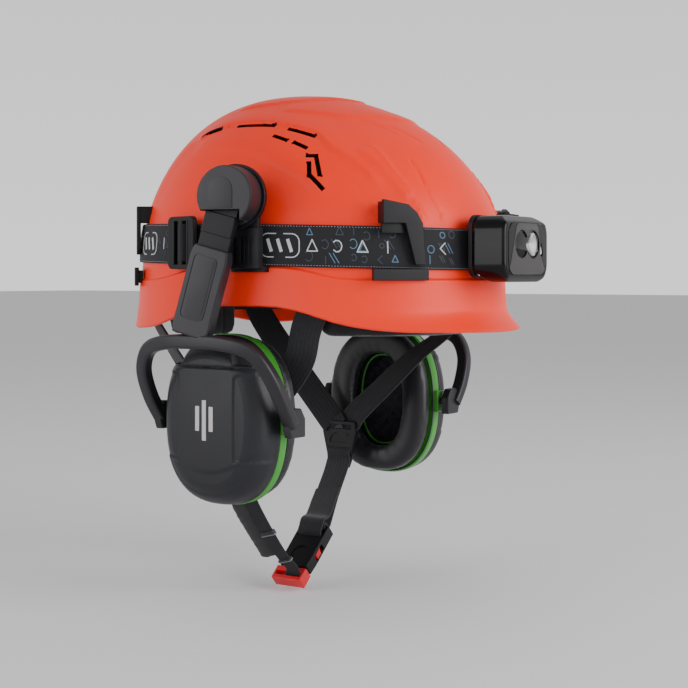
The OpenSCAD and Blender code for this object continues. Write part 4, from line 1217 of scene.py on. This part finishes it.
def cupBlocks():
    # dished cup over an oval: scale of the outline against depth, then the panels as relief
    stations = [(100.8, 0.99, 0.99), (104, 0.99, 0.99), (108, 0.982, 0.982), (112, 0.955, 0.96),
                (115.5, 0.915, 0.925), (119, 0.85, 0.865), (121.6, 0.775, 0.80), (123.2, 0.69, 0.72)]
    n, rings = 240, []
    edge = oval(muff["cupW"], muff["cupH"], n)
    depth = curve([(x, a, b) for x, a, b in stations], 8)
    for x, a, b in depth:
        rings.append((np.full(n, x), edge[:, 0] * a, edge[:, 1] * b))
    a0, b0 = depth[-1][1:]
    for f in np.linspace(1, 0, 64)[1:-1]:
        rings.append((np.full(n, 123.2 + 1.5 * (1 - f * f)), edge[:, 0] * a0 * f, edge[:, 1] * b0 * f))
    x, y, z = [np.array([r[i] for r in rings]) for i in range(3)]
    # grip panels beside the middle one, chamfered at their corners
    reach = np.minimum.reduce([np.abs(y) - 22.3, 31 - z, z + 25, (31 - z + np.abs(y) - 24.5) * 0.707])
    panel = smoothStep(-0.1, 0.7, reach)
    grip = panel * smoothStep(103.5, 104.5, x)
    drop = 1.1 * panel * smoothStep(102, 105, x)
    seam = np.exp(-((z - 35.2) / 0.75) ** 2) * smoothStep(102, 104, x)
    beside = smoothStep(0, 1.6, np.minimum(z - 36.2, np.abs(y) - (22 - (z - 35) * 0.42)))
    low = smoothStep(0, 3.0, np.minimum(-(z + 31 - 0.010 * y * y), 60)) * smoothStep(118, 121, x)
    inward = drop + 1.3 * seam + 6.4 * beside * smoothStep(103, 110, x) + 0.9 * low
    inX, inR = inward * smoothStep(110, 122, x), inward * (1 - smoothStep(110, 122, x)) * 0.7
    radius = np.maximum(np.hypot(y, z), 1e-6)
    points = np.stack([x - inX, y - inR * y / radius, z - inR * z / radius], -1)
    m = len(points)
    faces = [(i * n + j, i * n + (j + 1) % n, (i + 1) * n + (j + 1) % n, (i + 1) * n + j)
             for i in range(m - 1) for j in range(n)]
    faces += [((m - 1) * n + j, (m - 1) * n + (j + 1) % n, m * n) for j in range(n)]
    # inner wall
    inner = [(100.8, 0.93), (108, 0.92), (116, 0.84), (119.4, 0.6)]
    start = m * n + 1
    back = np.array([[(ix, px * s, pz * s) for px, pz in edge] for ix, s in inner])
    k = len(back)
    faces += [(start + i * n + (j + 1) % n, start + i * n + j, start + (i + 1) * n + j,
               start + (i + 1) * n + (j + 1) % n)
              for i in range(k - 1) for j in range(n)]
    faces += [(start + (k - 1) * n + (j + 1) % n, start + (k - 1) * n + j, start + k * n) for j in range(n)]
    faces += [(j, start + j, start + (j + 1) % n, (j + 1) % n) for j in range(n)]
    allPoints = np.concatenate([points.reshape(-1, 3), [(124.7, 0, 0)], back.reshape(-1, 3), [(120, 0, 0)]])
    allPoints[:, 2] += muff["pivotZ"]
    bm = blockFrom(allPoints, faces)
    layer = bm.verts.layers.float.new("gripGrain")
    bm.verts.ensure_lookup_table()
    for i, value in enumerate(grip.ravel()):
        bm.verts[i][layer] = float(value)
    bmesh.ops.recalc_face_normals(bm, faces=bm.faces)
    return bm


def makeMuffs():
    for side, piece in bothSides("HubDisc", hubCapBlocks, ["armPolyamide"], "{}_hub",
                                 ["hub_cap"]):
        pass
    for side, piece in bothSides("MuffBase", adapterBlocks, ["blackNylon"], "helmet",
                                 ["muff_adapter"]):
        pass
    for side, piece in bothSides("SlideBlade", bladeBlocks, ["blackNylon"], "{}_blade",
                                 ["arm_blade"]):
        pass
    for side, piece in bothSides("LeverBow", yokeBlocks, ["armPolyamide"], "{}_yoke",
                                 ["arm_yoke"]):
        pass
    for side, piece in bothSides("CupRing", ringBlocks, ["greenRing"], "{}_cup",
                                 ["cup_ring"]):
        pass
    for side in ("left", "right"):
        bm = cupBlocks()
        if side == "right":
            bm = moved(bm, mirrorX)
        addPiece(side + "CupDish", bm, ["cupAbs"], side + "_cup", [side + "_cup_shell"], 50)
        marks = []
        for y, z0, z1 in ((-5.6, -6, 10), (0, -12, 14), (5.6, -6, 10)):
            marks.append(box((124.0, y - 1.6, muff["pivotZ"] + z0), (124.95, y + 1.6, muff["pivotZ"] + z1),
                             0.25))
        if side == "right":
            marks = [moved(b, mirrorX) for b in marks]
        addPiece(side + "CupMark", marks, ["whitePrint"], side + "_cup")
        # fine row of dots beside the lever's panel
        at = [armFrame @ Vector((4.55, -5.2, -36 - i)) for i in range(0, 36, 2)]
        up = armFrame.to_3x3() @ Vector((1, 0, 0))
        if side == "right":
            at = [Vector((-p.x, p.y, p.z)) for p in at]
            up = Vector((-up.x, up.y, up.z))
        repeatPiece(side + "LeverDots", [[(tuple(p), tuple(up)) for p in at]], 1.6, (0.7, 0.7, 0.3),
                    "blackNylon", side + "_yoke")
    print("muffs: hubs, levers, rings and cups")


makeLampStrap()
makeClips()
makeHeadlamp()
makeMuffs()

# Webbing harness
harness = {"width": 20, "narrow": 11, "thick": 1.6, "foot": (65.6, 6, -101.5), "divider": (65, 22, -122),
           "leftFront": (80, -84, -6), "rightFront": (-84, -64, -2), "rear": (63, 97, -4),
           "buckle": (-24, 2, -208), "rise": 42}
buckleFrame = (Matrix.Translation(harness["buckle"])
               @ Matrix.Rotation(math.radians(-harness["rise"]), 4, "Y"))
flipX = lambda points: [(-x, y, z) for x, y, z in points]


def onBuckle(points):
    return [tuple(buckleFrame @ Vector(p)) for p in points]


def makeHarness():
    w, t = harness["width"], harness["thick"]
    # each front strap ends in its divider's upper slot
    turnUp = [(66.6, 13, -109), (66.2, 18, -113.0), (65.0, 20.2, -114.4)]
    foot = harness["foot"]
    left = [(80, -84, -11), (77, -66, -38), (66, -42, -60), (65.5, -12, -86), foot, *turnUp]
    right = [(-84, -64, -7), (-82.5, -51, -34), (-68, -34, -58), (-65.5, -10, -85)] + flipX([foot, *turnUp])
    rear = [(63, 97, -9), (63, 95.2, -32), (64, 34.5, -103.4), (64.2, 28.5, -110), (64.6, 25.4, -114.2)]
    for name, path, a, b in (("leftFrontTape", left, (0.59, 0.81, 0), (0, 1, 0.6)),
                             ("rightFrontTape", right, (-0.5, 0.86, 0), (0, 1, 0.6)),
                             ("leftRearTape", rear, (0.79, -0.61, 0), (0, -1, 0.6)),
                             ("rightRearTape", flipX(rear), (-0.79, -0.61, 0), (0, -1, 0.6))):
        old = name.replace("FrontTape", "_front_strap").replace("RearTape", "_rear_strap")
        addPiece(name, [tape(path, w, t, a, b, 16)], ["harnessWebbing"], "helmet", [old],
                 60)

    # left chin strap: round the divider's lower bar, across to the buckle and back on itself
    loop = [(58.4, 19.8, -145.0), (64.6, 21.4, -139.6), (68.0, 22, -134.6), (67.0, 22, -131.2),
            (65.0, 22, -130.2),
            (62.6, 22, -131.6), (61.8, 21.8, -134.6), (61.0, 21.2, -138.6)]
    run = [(53, 18, -145.6), (30, 11, -163), (8.2, 3, -178.6)]
    ladder = onBuckle([(40.6, 0, 5.6), (38.4, 0, 5.4), (36.6, 0, 0.5), (34, 0, -5.6), (31.2, 0, -0.5),
                       (31.8, 0, 5.6), (35.5, 0, 7.4), (42, 1, 7.8), (50, 2.6, 3.4), (66, 7.6, 0.2),
                       (78, 10.8, -1.6)])
    addPiece("leftChinTape", [tape([*loop, *run, *ladder], w, t, (0, 1, 0), (0, 1, 0), 12)],
             ["harnessWebbing"],
             "helmet", ["left_chin_strap"], 60)

    # right chin strap: narrow and ribbed, from its divider down into the fork
    top = [(-58.6, 13.5, -148), (-63.8, 17, -140.5), (-68.0, 20, -135), (-67.0, 21, -131.4),
           (-65.0, 21, -130.2),
           (-62.6, 20.4, -131.4), (-62.4, 17, -136)]
    run = [(-58, 12, -156), (-43, 2, -188), (-33, -4, -203)]
    fork = onBuckle([(-4.3, -3, 2.5), (-4.4, -2.6, -2.8)])
    addPiece("rightChinTape", [tape([*top, *run, *fork], harness["narrow"], t, (0, 1, 0), (0, 1, 0), 12)],
             ["elasticTape"], "helmet", ["right_chin_strap"], 60)

    # rows of box stitches where a tape is sewn to itself
    paths = []
    for side, y0 in ((1, 6), (-1, 6)):
        for k in (-6.5, 6.5):
            line = [((side * (foot[0] + 0.9)), y0 + k * 0.857 - 9 + 4.5 * i,
                     foot[2] + k * 0.514 + 8 - 4 * i) for i in range(3)]
            paths.append([(p, (side, 0, 0)) for p in line])
    repeatPiece("tapeStitches", paths, 2.4, (1.7, 0.5, 0.4), "greyThread", "helmet")

    # keepers: three woven loops round the narrow strap
    pad = [(-64.4, 15, -136), (-58, 12, -156), (-43, 2, -188), (-33, -4, -203)]
    line = curve(pad, 5)
    blocks = []
    for i in (4, 8, 12):
        a, b = line[i], line[i] + (line[i + 1] - line[i]) * 0.45
        outline = roundRect(harness["narrow"] + 1.5, t + 2.0, 0.9, 3)
        blocks.append((loft(sweep([a, (a + b) / 2, b], outline, (0, 1, 0), (0, 1, 0))), 1))
        for f in (0.8,):
            mid = a + (b - a) * f
            d = unit(b - a) * 0.3
            rim = roundRect(harness["narrow"] + 1.8, t + 2.3, 1.0, 3)
            blocks.append((loft(sweep([mid - d, mid, mid + d], rim, (0, 1, 0), (0, 1, 0))), 0))
    addPiece("strapKeeperLoops", blocks, ["keeperThread", "smoothSleeve"], "helmet",
             ["strap_keepers"], 40)
    print("harness: front, rear and chin webbing")


def makeHardware():
    # dividers: a waisted frame with slots above and below and an arch between them
    cx, cy, cz = harness["divider"]
    outer = [(-14, 12), (14, 12), (15, 4), (11, -13), (-11, -13), (-15, 4)]
    blocks = []
    for side in (1, -1):
        plate = prism([(cy + a, cz + b) for a, b in outer], cx - 2.2, cx + 2.2, "x", 0.9, 3)
        slots = [box((cx - 4, cy - 11, cz + 6), (cx + 4, cy + 11, cz + 9.5), 0.3),
                 box((cx - 4, cy - 10, cz - 10.5), (cx + 4, cy + 10, cz - 7.7), 0.3)]
        arch = [(cy + 8.4 * math.cos(a), cz - 4.4 + 8.2 * math.sin(a)) for a in np.linspace(0, math.pi, 20)]
        for x0, x1 in ((cx + 1.5, cx + 4), (cx - 4, cx - 1.5)):
            slots.append(prism(arch, x0, x1, "x", 0))
        plate = boolean(plate, [joinBlocks(slots)])
        blocks.append(moved(plate, mirrorX) if side < 0 else plate)
    addPiece("rightDivider", [blocks[1]], ["blackNylon"], "helmet", ["right_strap_divider"])
    addPiece("leftDivider", [blocks[0]], ["blackNylon"], "helmet", ["left_strap_divider"])

    # anchors inside the shell
    blocks = []
    for place, turn, mirrored in ((harness["leftFront"], -36, False), (harness["rightFront"], 30, False),
                                  (harness["rear"], 52, False), (harness["rear"], 52, True)):
        block = box((-2.8, -13.5, -6), (2.8, 13.5, 6), 0.8, 3)
        block = boolean(block, [box((-1.5, -10.8, -7), (1.5, 10.8, 3), 0.2)])
        at = Matrix.Translation(place) @ Matrix.Rotation(math.radians(turn), 4, "Z")
        block = moved(block, at)
        blocks.append(moved(block, mirrorX) if mirrored else block)
    addPiece("webbingAnchors", blocks, ["blackNylon"], "helmet", ["strap_anchors"])

    # buckle: red fork with two wings, black socket with windows and a ladder
    fork = box((-9, -12.5, -4.5), (2, 12.5, 4.5), 1.4, 3)
    fork = boolean(fork, [box((-6, -10.6, -6), (-2.6, 10.6, 6), 0.3)])
    tongue = box((1, -2.4, -1.5), (24, 2.4, 1.5), 0.5)
    addPiece("buckleFork", [moved(fork, buckleFrame), moved(tongue, buckleFrame)], ["redAcetal"], "helmet",
             ["buckle_fork"])
    wing = [(2.4, 6.4), (2.4, 9.4), (14.5, 9.4), (15.5, 12.6), (20, 12.6), (24, 10), (24, 7.6), (14, 6.4)]
    for name, sign, node in (("rearWing", 1, "rear_wing"), ("frontWing", -1, "front_wing")):
        piece = prism([(x, sign * y) for x, y in wing], -2, 2, "z", 0.55, 3)
        grips = [box((15.9 + 1.5 * i, sign * 12.3 - 0.3, -1.5), (16.5 + 1.5 * i, sign * 12.3 + 0.5, 1.5),
                     0.15) for i in range(3)]
        addPiece(name, [moved(b, buckleFrame) for b in (piece, *grips)], ["redAcetal"], node,
                 [node])
    outline = [(3.2, -11.6), (3.2, 11.6), (12, 12.3), (40, 12.3), (40, -12.3), (12, -12.3)]
    socket = prism(outline, -4.4, 4.4, "z", 1.2, 3)
    cuts = [box((2, -10.3, -2.4), (26.5, 10.3, 2.4), 0.2), box((13.6, -14, -2.4), (25.4, 14, 2.4), 0.2),
            joinBlocks([box((x, -10.4, -6), (x + 3, 10.4, 6), 0.3) for x in (29.5, 35)])]
    for cut in cuts:
        socket = boolean(socket, [cut])
    arch = [(14.5 + 6.0 * math.cos(a), 6.4 * math.sin(a))
            for a in np.linspace(0, 2 * math.pi, 32, endpoint=False)]
    for low, high in ((3.9, 6), (-6, -3.9)):
        socket = boolean(socket, [prism(arch, low, high, "z", 0)])
    addPiece("buckleSocket", [moved(socket, buckleFrame)], ["blackNylon"], "helmet",
             ["buckle_socket"])
    print("hardware: dividers, anchors and buckle")


# Headband, cradle and size knob
band = {"x": 82, "front": 104, "y": -6, "wall": 1.6, "low": -28, "sideLow": -17, "top": -6, "end": 58,
        "cradleX": 79.9, "cradleWall": 1.8, "bend": 68, "depth": 34, "knobZ": -28}


def wallBand(path, lows, tops, thick):
    # upright band along a path in plan, with rounded edges; lows and tops give its height
    path = np.asarray(path, float)
    d = np.gradient(path, axis=0)
    n = np.stack([d[:, 1], -d[:, 0]], 1) / np.linalg.norm(d, axis=1, keepdims=True)
    h = thick / 2
    rings = []
    for p, side, low, top in zip(path, n, lows, tops):
        section = [(h, low + h), (h, top - h), (h * 0.5, top), (-h * 0.5, top), (-h, top - h), (-h, low + h),
                   (-h * 0.5, low), (h * 0.5, low)]
        rings.append([(p[0] + side[0] * a, p[1] + side[1] * a, z) for a, z in section])
    return loft(rings)


def makeFit():
    h = band["wall"] / 2
    turns = np.radians(np.linspace(-90, 90, 121))
    arc = np.stack([(band["x"] - h) * np.sin(turns), band["y"] - (band["front"] - h) * np.cos(turns)], 1)
    sides = np.linspace(band["end"], band["y"] + 2, 22)
    path = np.concatenate([[(-band["x"] + h, y) for y in sides], arc,
                           [(band["x"] - h, y) for y in sides[::-1]]])
    angle = np.degrees(np.arctan2(np.abs(path[:, 0]), band["y"] - path[:, 1] + 1e-9))
    lows = band["low"] + (band["sideLow"] - band["low"]) * smoothStep(54, 63, angle)
    blocks = [wallBand(path, lows, np.full(len(path), band["top"]), band["wall"])]
    for side in (1, -1):
        for y in (-20, 34):
            arm = box((band["x"] - 0.5, y, band["top"] - 3), (band["x"] + 17, y + 14, band["top"]), 0.7, 3)
            arm = boolean(arm, [box((band["x"] + 4, y + 4, -12), (band["x"] + 13, y + 10, 0), 0.5)])
            blocks.append(moved(arm, mirrorX) if side < 0 else arm)
    addPiece("innerHeadband", blocks, ["blackNylon"], "helmet", ["headband"])
    # ratchet ribs along the inside of the headband's rear ends
    paths = [[((side * (band["x"] - band["wall"] + 0.05), y, -11.5), (-side, 0, 0)) for y in (34, 45, 56)]
             for side in (1, -1)]
    repeatPiece("headbandRibs", paths, 2.2, (0.9, 7.5, 0.5), "blackNylon", "helmet")

    h = band["cradleWall"] / 2
    turns = np.radians(np.linspace(-90, 90, 81))
    arc = np.stack([(band["cradleX"] - h) * np.sin(turns),
                    band["bend"] + (band["depth"] - h) * np.cos(turns)], 1)
    sides = np.linspace(30, band["bend"] - 2, 12)
    path = np.concatenate([[(-band["cradleX"] + h, y) for y in sides], arc,
                           [(band["cradleX"] - h, y) for y in sides[::-1]]])
    strip = wallBand(path, np.full(len(path), -26.0), np.full(len(path), -8.0), band["cradleWall"])
    z = band["knobZ"]
    housing = prism(roundRect(48, 30, 8, 8, (0, z)), 102, 115, "y", 1.4, 3)
    housing = boolean(housing, [joinBlocks([rod(9, 104, 112.5, "y", 0, 48, (0, z))])])
    housing = boolean(housing, [joinBlocks([rod(3.05, 100, 120, "y", 0, 32, (0, z))])])
    collar = prism(circle(15.6, 64, (0, z)), 113.9, 115.25, "y", 0.35)
    collar = boolean(collar, [rod(13.2, 112, 118, "y", 0, 48, (0, z))])
    addPiece("napeCradle", [strip, housing, collar], ["blackNylon"], "nape_cradle",
             ["nape_cradle"])

    knob = prism(circle(14.5, 96, (0, z)), 115.4, 125, "y", 1.5, 4)
    knob = boolean(knob, [rod(9, 123.4, 127, "y", 0, 64, (0, z))])
    shaft = rod(3, 103.9, 116, "y", 0.3, 32, (0, z))
    ridge = joinBlocks([prism(circle(6.2, 48, (0, z)), 123.2, 123.9, "y", 0.25)])
    addPiece("sizeKnob", [knob, shaft, ridge], ["softRubber"], "size_knob",
             ["size_knob"])
    rim = [((14.4 * math.cos(a), 120.2, z + 14.4 * math.sin(a)), (math.cos(a), 0, math.sin(a)))
           for a in np.linspace(0, 2 * math.pi, 121)]
    repeatPiece("knobRibs", [rim], 2 * math.pi * 14.4 / 26, (1.7, 8.0, 1.6), "softRubber", "size_knob")
    print("fit: headband, cradle and knob")


# Pads and ear cushions
def swell(piece, voxel, cap, pressure=4.0):
    # the pad is blown up by a short cloth simulation, and no point moves more than cap millimetres
    scene = bpy.context.scene
    step = piece.modifiers.new("even", "REMESH")
    step.mode = "VOXEL"
    step.voxel_size = voxel * mm
    bake(piece)
    start = coordinates(piece.data)
    cloth = piece.modifiers.new("cloth", "CLOTH")
    cloth.settings.use_pressure = True
    cloth.settings.uniform_pressure_force = pressure
    cloth.settings.quality = 4
    cloth.settings.effector_weights.gravity = 0
    cloth.point_cache.frame_start = 1
    cloth.point_cache.frame_end = 20
    for f in range(1, 21):
        scene.frame_set(f)
    bake(piece)
    move = coordinates(piece.data) - start
    far = np.linalg.norm(move, axis=1, keepdims=True)
    move *= np.minimum(1, cap * mm / np.maximum(far, 1e-9))
    setCoordinates(piece.data, start + move)
    scene.frame_set(1)
    finer = piece.modifiers.new("finer", "SUBSURF")
    finer.levels = finer.render_levels = 1
    bake(piece)
    piece.data.shade_smooth()
    return piece


def bake(piece):
    # the evaluated mesh takes the place of the mesh and its modifiers
    mesh = bpy.data.meshes.new_from_object(piece.evaluated_get(bpy.context.evaluated_depsgraph_get()))
    piece.modifiers.clear()
    old = piece.data
    piece.data = mesh
    mesh.name = piece.name
    bpy.data.meshes.remove(old)


def coordinates(mesh):
    flat = np.empty(len(mesh.vertices) * 3, np.float32)
    mesh.vertices.foreach_get("co", flat)
    return flat.reshape(-1, 3)


def setCoordinates(mesh, points):
    mesh.vertices.foreach_set("co", np.asarray(points, np.float32).ravel())
    mesh.update()


def addPad(name, bm, material, body, node, voxel=2.6, cap=1.3, dent=None):
    # dent(points in millimetres, normals) gives how far the finished surface is pressed in
    piece = swell(meshObject(name, bm, [material], 60), voxel, cap)
    if dent:
        points = coordinates(piece.data) * 1000
        flat = np.empty(len(points) * 3, np.float32)
        piece.data.vertices.foreach_get("normal", flat)
        normals = flat.reshape(-1, 3)
        setCoordinates(piece.data, (points - normals * dent(points, normals)[:, None]) * mm)
    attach(piece, body)
    if node:
        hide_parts(node)
    return piece


def roundRing(inner, outer, centre, halfDeep, grow, p=3.3, n=28):
    # soft ring round an ear: a superellipse section between two ovals, along X
    rings = []
    for i, o in zip(inner, outer):
        mid, half = (i + o) / 2, np.linalg.norm(o - i) / 2 - grow
        d = unit(o - i)
        ring = []
        for k in range(n):
            a = 2 * math.pi * k / n
            u, v = power(math.cos(a), 2 / p), power(math.sin(a), 2 / p)
            lift = (halfDeep - grow) * v * (1 - 0.10 * max(0, -v) * abs(u))
            ring.append((centre + lift, *(mid + d * half * u)))
        rings.append(ring)
    return rings


def makeCushions():
    z0 = muff["pivotZ"]
    for side in ("left", "right"):
        flip = side == "right"
        inner, outer = oval(20.4, 34.4, 112), oval(43.7, 54.7, 112)
        inner[:, 1] += z0
        outer[:, 1] += z0
        ring = loft(roundRing(inner, outer, 85.4, 7.2, 0.9), closed=True)
        ring = moved(ring, mirrorX) if flip else ring
        # shallow creases across the inner edge, as leatherette gathers there
        def gathers(p, n, z0=z0):
            a = np.arctan2(p[:, 2] - z0, p[:, 1])
            near = smoothStep(12, 2, np.hypot(p[:, 1] / 20, (p[:, 2] - z0) / 34) * 20 - 20)
            return 0.28 * near * (0.5 + 0.5 * np.sin(a * 34 + 1.7 * np.sin(a * 5)))
        addPad(side + "EarCushion", ring, "leatherette", side + "_cup",
               side + "_cushion",
               2.6, 1.2, gathers)
        turn = -1 if flip else 1
        seam = [((turn * 91.3, y * 1.0, z + z0), (0, y, z)) for y, z in oval(43.9, 54.9, 180)]
        seam.append(seam[0])
        repeatPiece(side + "CushionStitches", [seam], 3.0, (2.1, 0.6, 0.5), "greyThread", side + "_cup")
        # thin piping at the cushion's foot and the green edge seen inside the opening
        def hoop(halfW, halfH, x, r):
            rings = []
            for y, z in oval(halfW, halfH, 120):
                d = unit((y, z))
                rings.append([(x + r * math.cos(a), y + d[0] * r * math.sin(a),
                               z + z0 + d[1] * r * math.sin(a))
                              for a in np.linspace(0, 2 * math.pi, 9)[:-1]])
            bm = loft(rings, closed=True)
            return moved(bm, mirrorX) if flip else bm
        addPiece(side + "CushionPiping", [hoop(43.4, 54.4, 92.1, 0.55)], ["leatherette"], side + "_cup")
        addPiece(side + "InnerGreenEdge", [hoop(19.9, 33.9, 92.0, 0.7)], ["greenRing"], side + "_cup")
        # sheet of convoluted foam behind the opening
        rows, n = 30, 112
        edge = oval(31.8, 43.8, n)
        pts = []
        for f in np.linspace(1, 0, rows)[:-1]:
            y, z = edge[:, 0] * f, edge[:, 1] * f
            bumps = 1.3 * np.cos(y * 2 * np.pi / 11) * np.cos(z * 2 * np.pi / 11) * smoothStep(1, 0.85,
                                                                                               np.full(n, f))
            pts.append(np.stack([np.full(n, 104.5) + bumps, y, z + z0], 1))
        first = [np.stack([np.full(n, x), edge[:, 0] * s, edge[:, 1] * s + z0], 1)
                 for x, s in ((112.6, 0.9), (112.9, 0.97), (111, 1.0), (106, 1.0))]
        foam = loft([*first, *pts])
        foam = moved(foam, mirrorX) if flip else foam
        piece = addPiece(side + "AcousticFoam", [foam], ["acousticFoam"], side + "_cup",
                         [side + "_cup_foam"], 60)
    print("cushions: swollen rings, seams and foam")


def makePads():
    # brow pad: a folded fabric pad on the front of the headband with a lip below it
    turns = np.radians(np.linspace(-62, 62, 90))
    def arcPoint(out, t):
        return np.array([(band["x"] + out) * math.sin(t), band["y"] - (band["front"] + out) * math.cos(t)])
    section = [(-2.8, -7), (-2.8, -27.6), (3.8, -28.9), (4.8, -31), (4.8, -37.6), (3.4, -39.4),
               (-7.6, -39.4), (-9.6, -37),
               (-10.2, -20), (-9.6, -8.4), (-8.2, -6.8), (-4.2, -6.6)]
    rings = []
    for i, t in enumerate(turns):
        ends = 1 - 0.5 * max(0, 1 - min(i, len(turns) - 1 - i) / 3) ** 2
        ring = []
        for out, z in section:
            p = arcPoint(-3 + (out + 3) * ends, t)
            ring.append((p[0], p[1], -23 + (z + 23) * (0.5 + 0.5 * ends)))
        rings.append(ring)
    def browDent(p, n):
        t = np.degrees(np.arctan2(p[:, 0] / band["x"], -(p[:, 1] - band["y"]) / band["front"]))
        return 0.6 * np.exp(-(((t + 62) % 15.5 - 7.75) / 1.1) ** 2) * smoothStep(-38, -34, p[:, 2])
    addPad("browPad", loft(rings), "padKnit", "helmet", "brow_pad", 2.6, 0.5, browDent)

    def slab(w, h, r, deep):
        # rounded pad lying in XY, thickest in the middle
        rings = []
        for f, zf in ((0.93, -0.5), (0.985, -0.3), (1.0, 0.0), (0.985, 0.3), (0.93, 0.46)):
            rings.append([(x * f, y * f, zf * deep) for x, y in roundRect(w, h, r, 8)])
        for f in (0.8, 0.55, 0.25):
            rings.append([(x * f, y * f, deep * 0.5) for x, y in roundRect(w, h, r, 8)])
        return loft(rings)
    pads = []
    for x in (-40, 0, 40):
        place = (Matrix.Translation((x, 4, (82 if x else 95)))
                 @ Matrix.Rotation(math.radians(x * 0.62), 4, "Y")
                 @ Matrix.Translation((0, 0, 3)))
        pads.append(moved(slab(26.6, 82.4, 12, 4.8), place))
    def crownDent(p, n):
        return 0.7 * np.exp(-(((p[:, 1] - 4 + 14) % 28 - 14) / 1.3) ** 2)
    addPad("crownPads", joinBlocks(pads), "padKnit", "helmet", "crown_pads", 2.4, 0.6,
           crownDent)

    nape = moved(slab(50.4, 32.4, 8.4, 5.6),
                 Matrix.Translation((0, 94.1, band["knobZ"])) @ Matrix.Rotation(math.radians(90), 4, "X"))
    def napeDent(p, n):
        return 0.6 * np.exp(-((np.abs(p[:, 0]) - 9) / 1.1) ** 2)
    addPad("napePad", nape, "padKnit", "nape_cradle", "nape_pad", 2.2, 0.6, napeDent)

    # sleeve beside the narrow chin strap: flat and soft, gathered a little where it bends
    run = [(-60, 28, -148), (-54, 24.2, -164), (-42.6, 16.1, -187), (-38, 13, -196)]
    path = curve(run, 14)
    outline = [(7.9 * float(power(math.cos(a), 0.75)) - 1.9, 2.5 * float(power(math.sin(a), 0.75)))
               for a in np.linspace(0, 2 * math.pi, 29)[:-1]]
    rings = np.array(sweep(path, outline, (0, 1, 0), (0, 1, 0)))
    m = len(rings)
    for i in range(m):
        end = min(i, m - 1 - i)
        squeeze = 0.82 + 0.18 * min(1, end / 4)
        rings[i] = path[i] + (rings[i] - path[i]) * squeeze
    def sleeveDent(p, n):
        s = (p - path[0]) @ unit(path[-1] - path[0])
        return 0.22 * (0.5 + 0.5 * np.sin(s * 0.95 + 0.8 * np.sin(s * 0.31)))
    addPad("chinSleeve", loft(rings), "smoothSleeve", "helmet", "chin_pad", 2.0, 0.5,
           sleeveDent)
    print("pads: brow, crown, nape and chin")


makeHarness()
makeHardware()
makeFit()
makeCushions()
makePads()

# CAD nodes that keep their shape
keptNodes = {
    "pinSteel": ["knob_pinion", "lamp_tilt_pin", "right_hub_axle", "left_hub_axle", "right_flip_pin",
                 "left_flip_pin"],
    "batteryWrap": ["lamp_battery"],
    "circuitGreen": ["lamp_circuit_board"],
}
for material, names in keptNodes.items():
    for name in names:
        nodes[name].data.materials.clear()
        nodes[name].data.materials.append(paint[material])
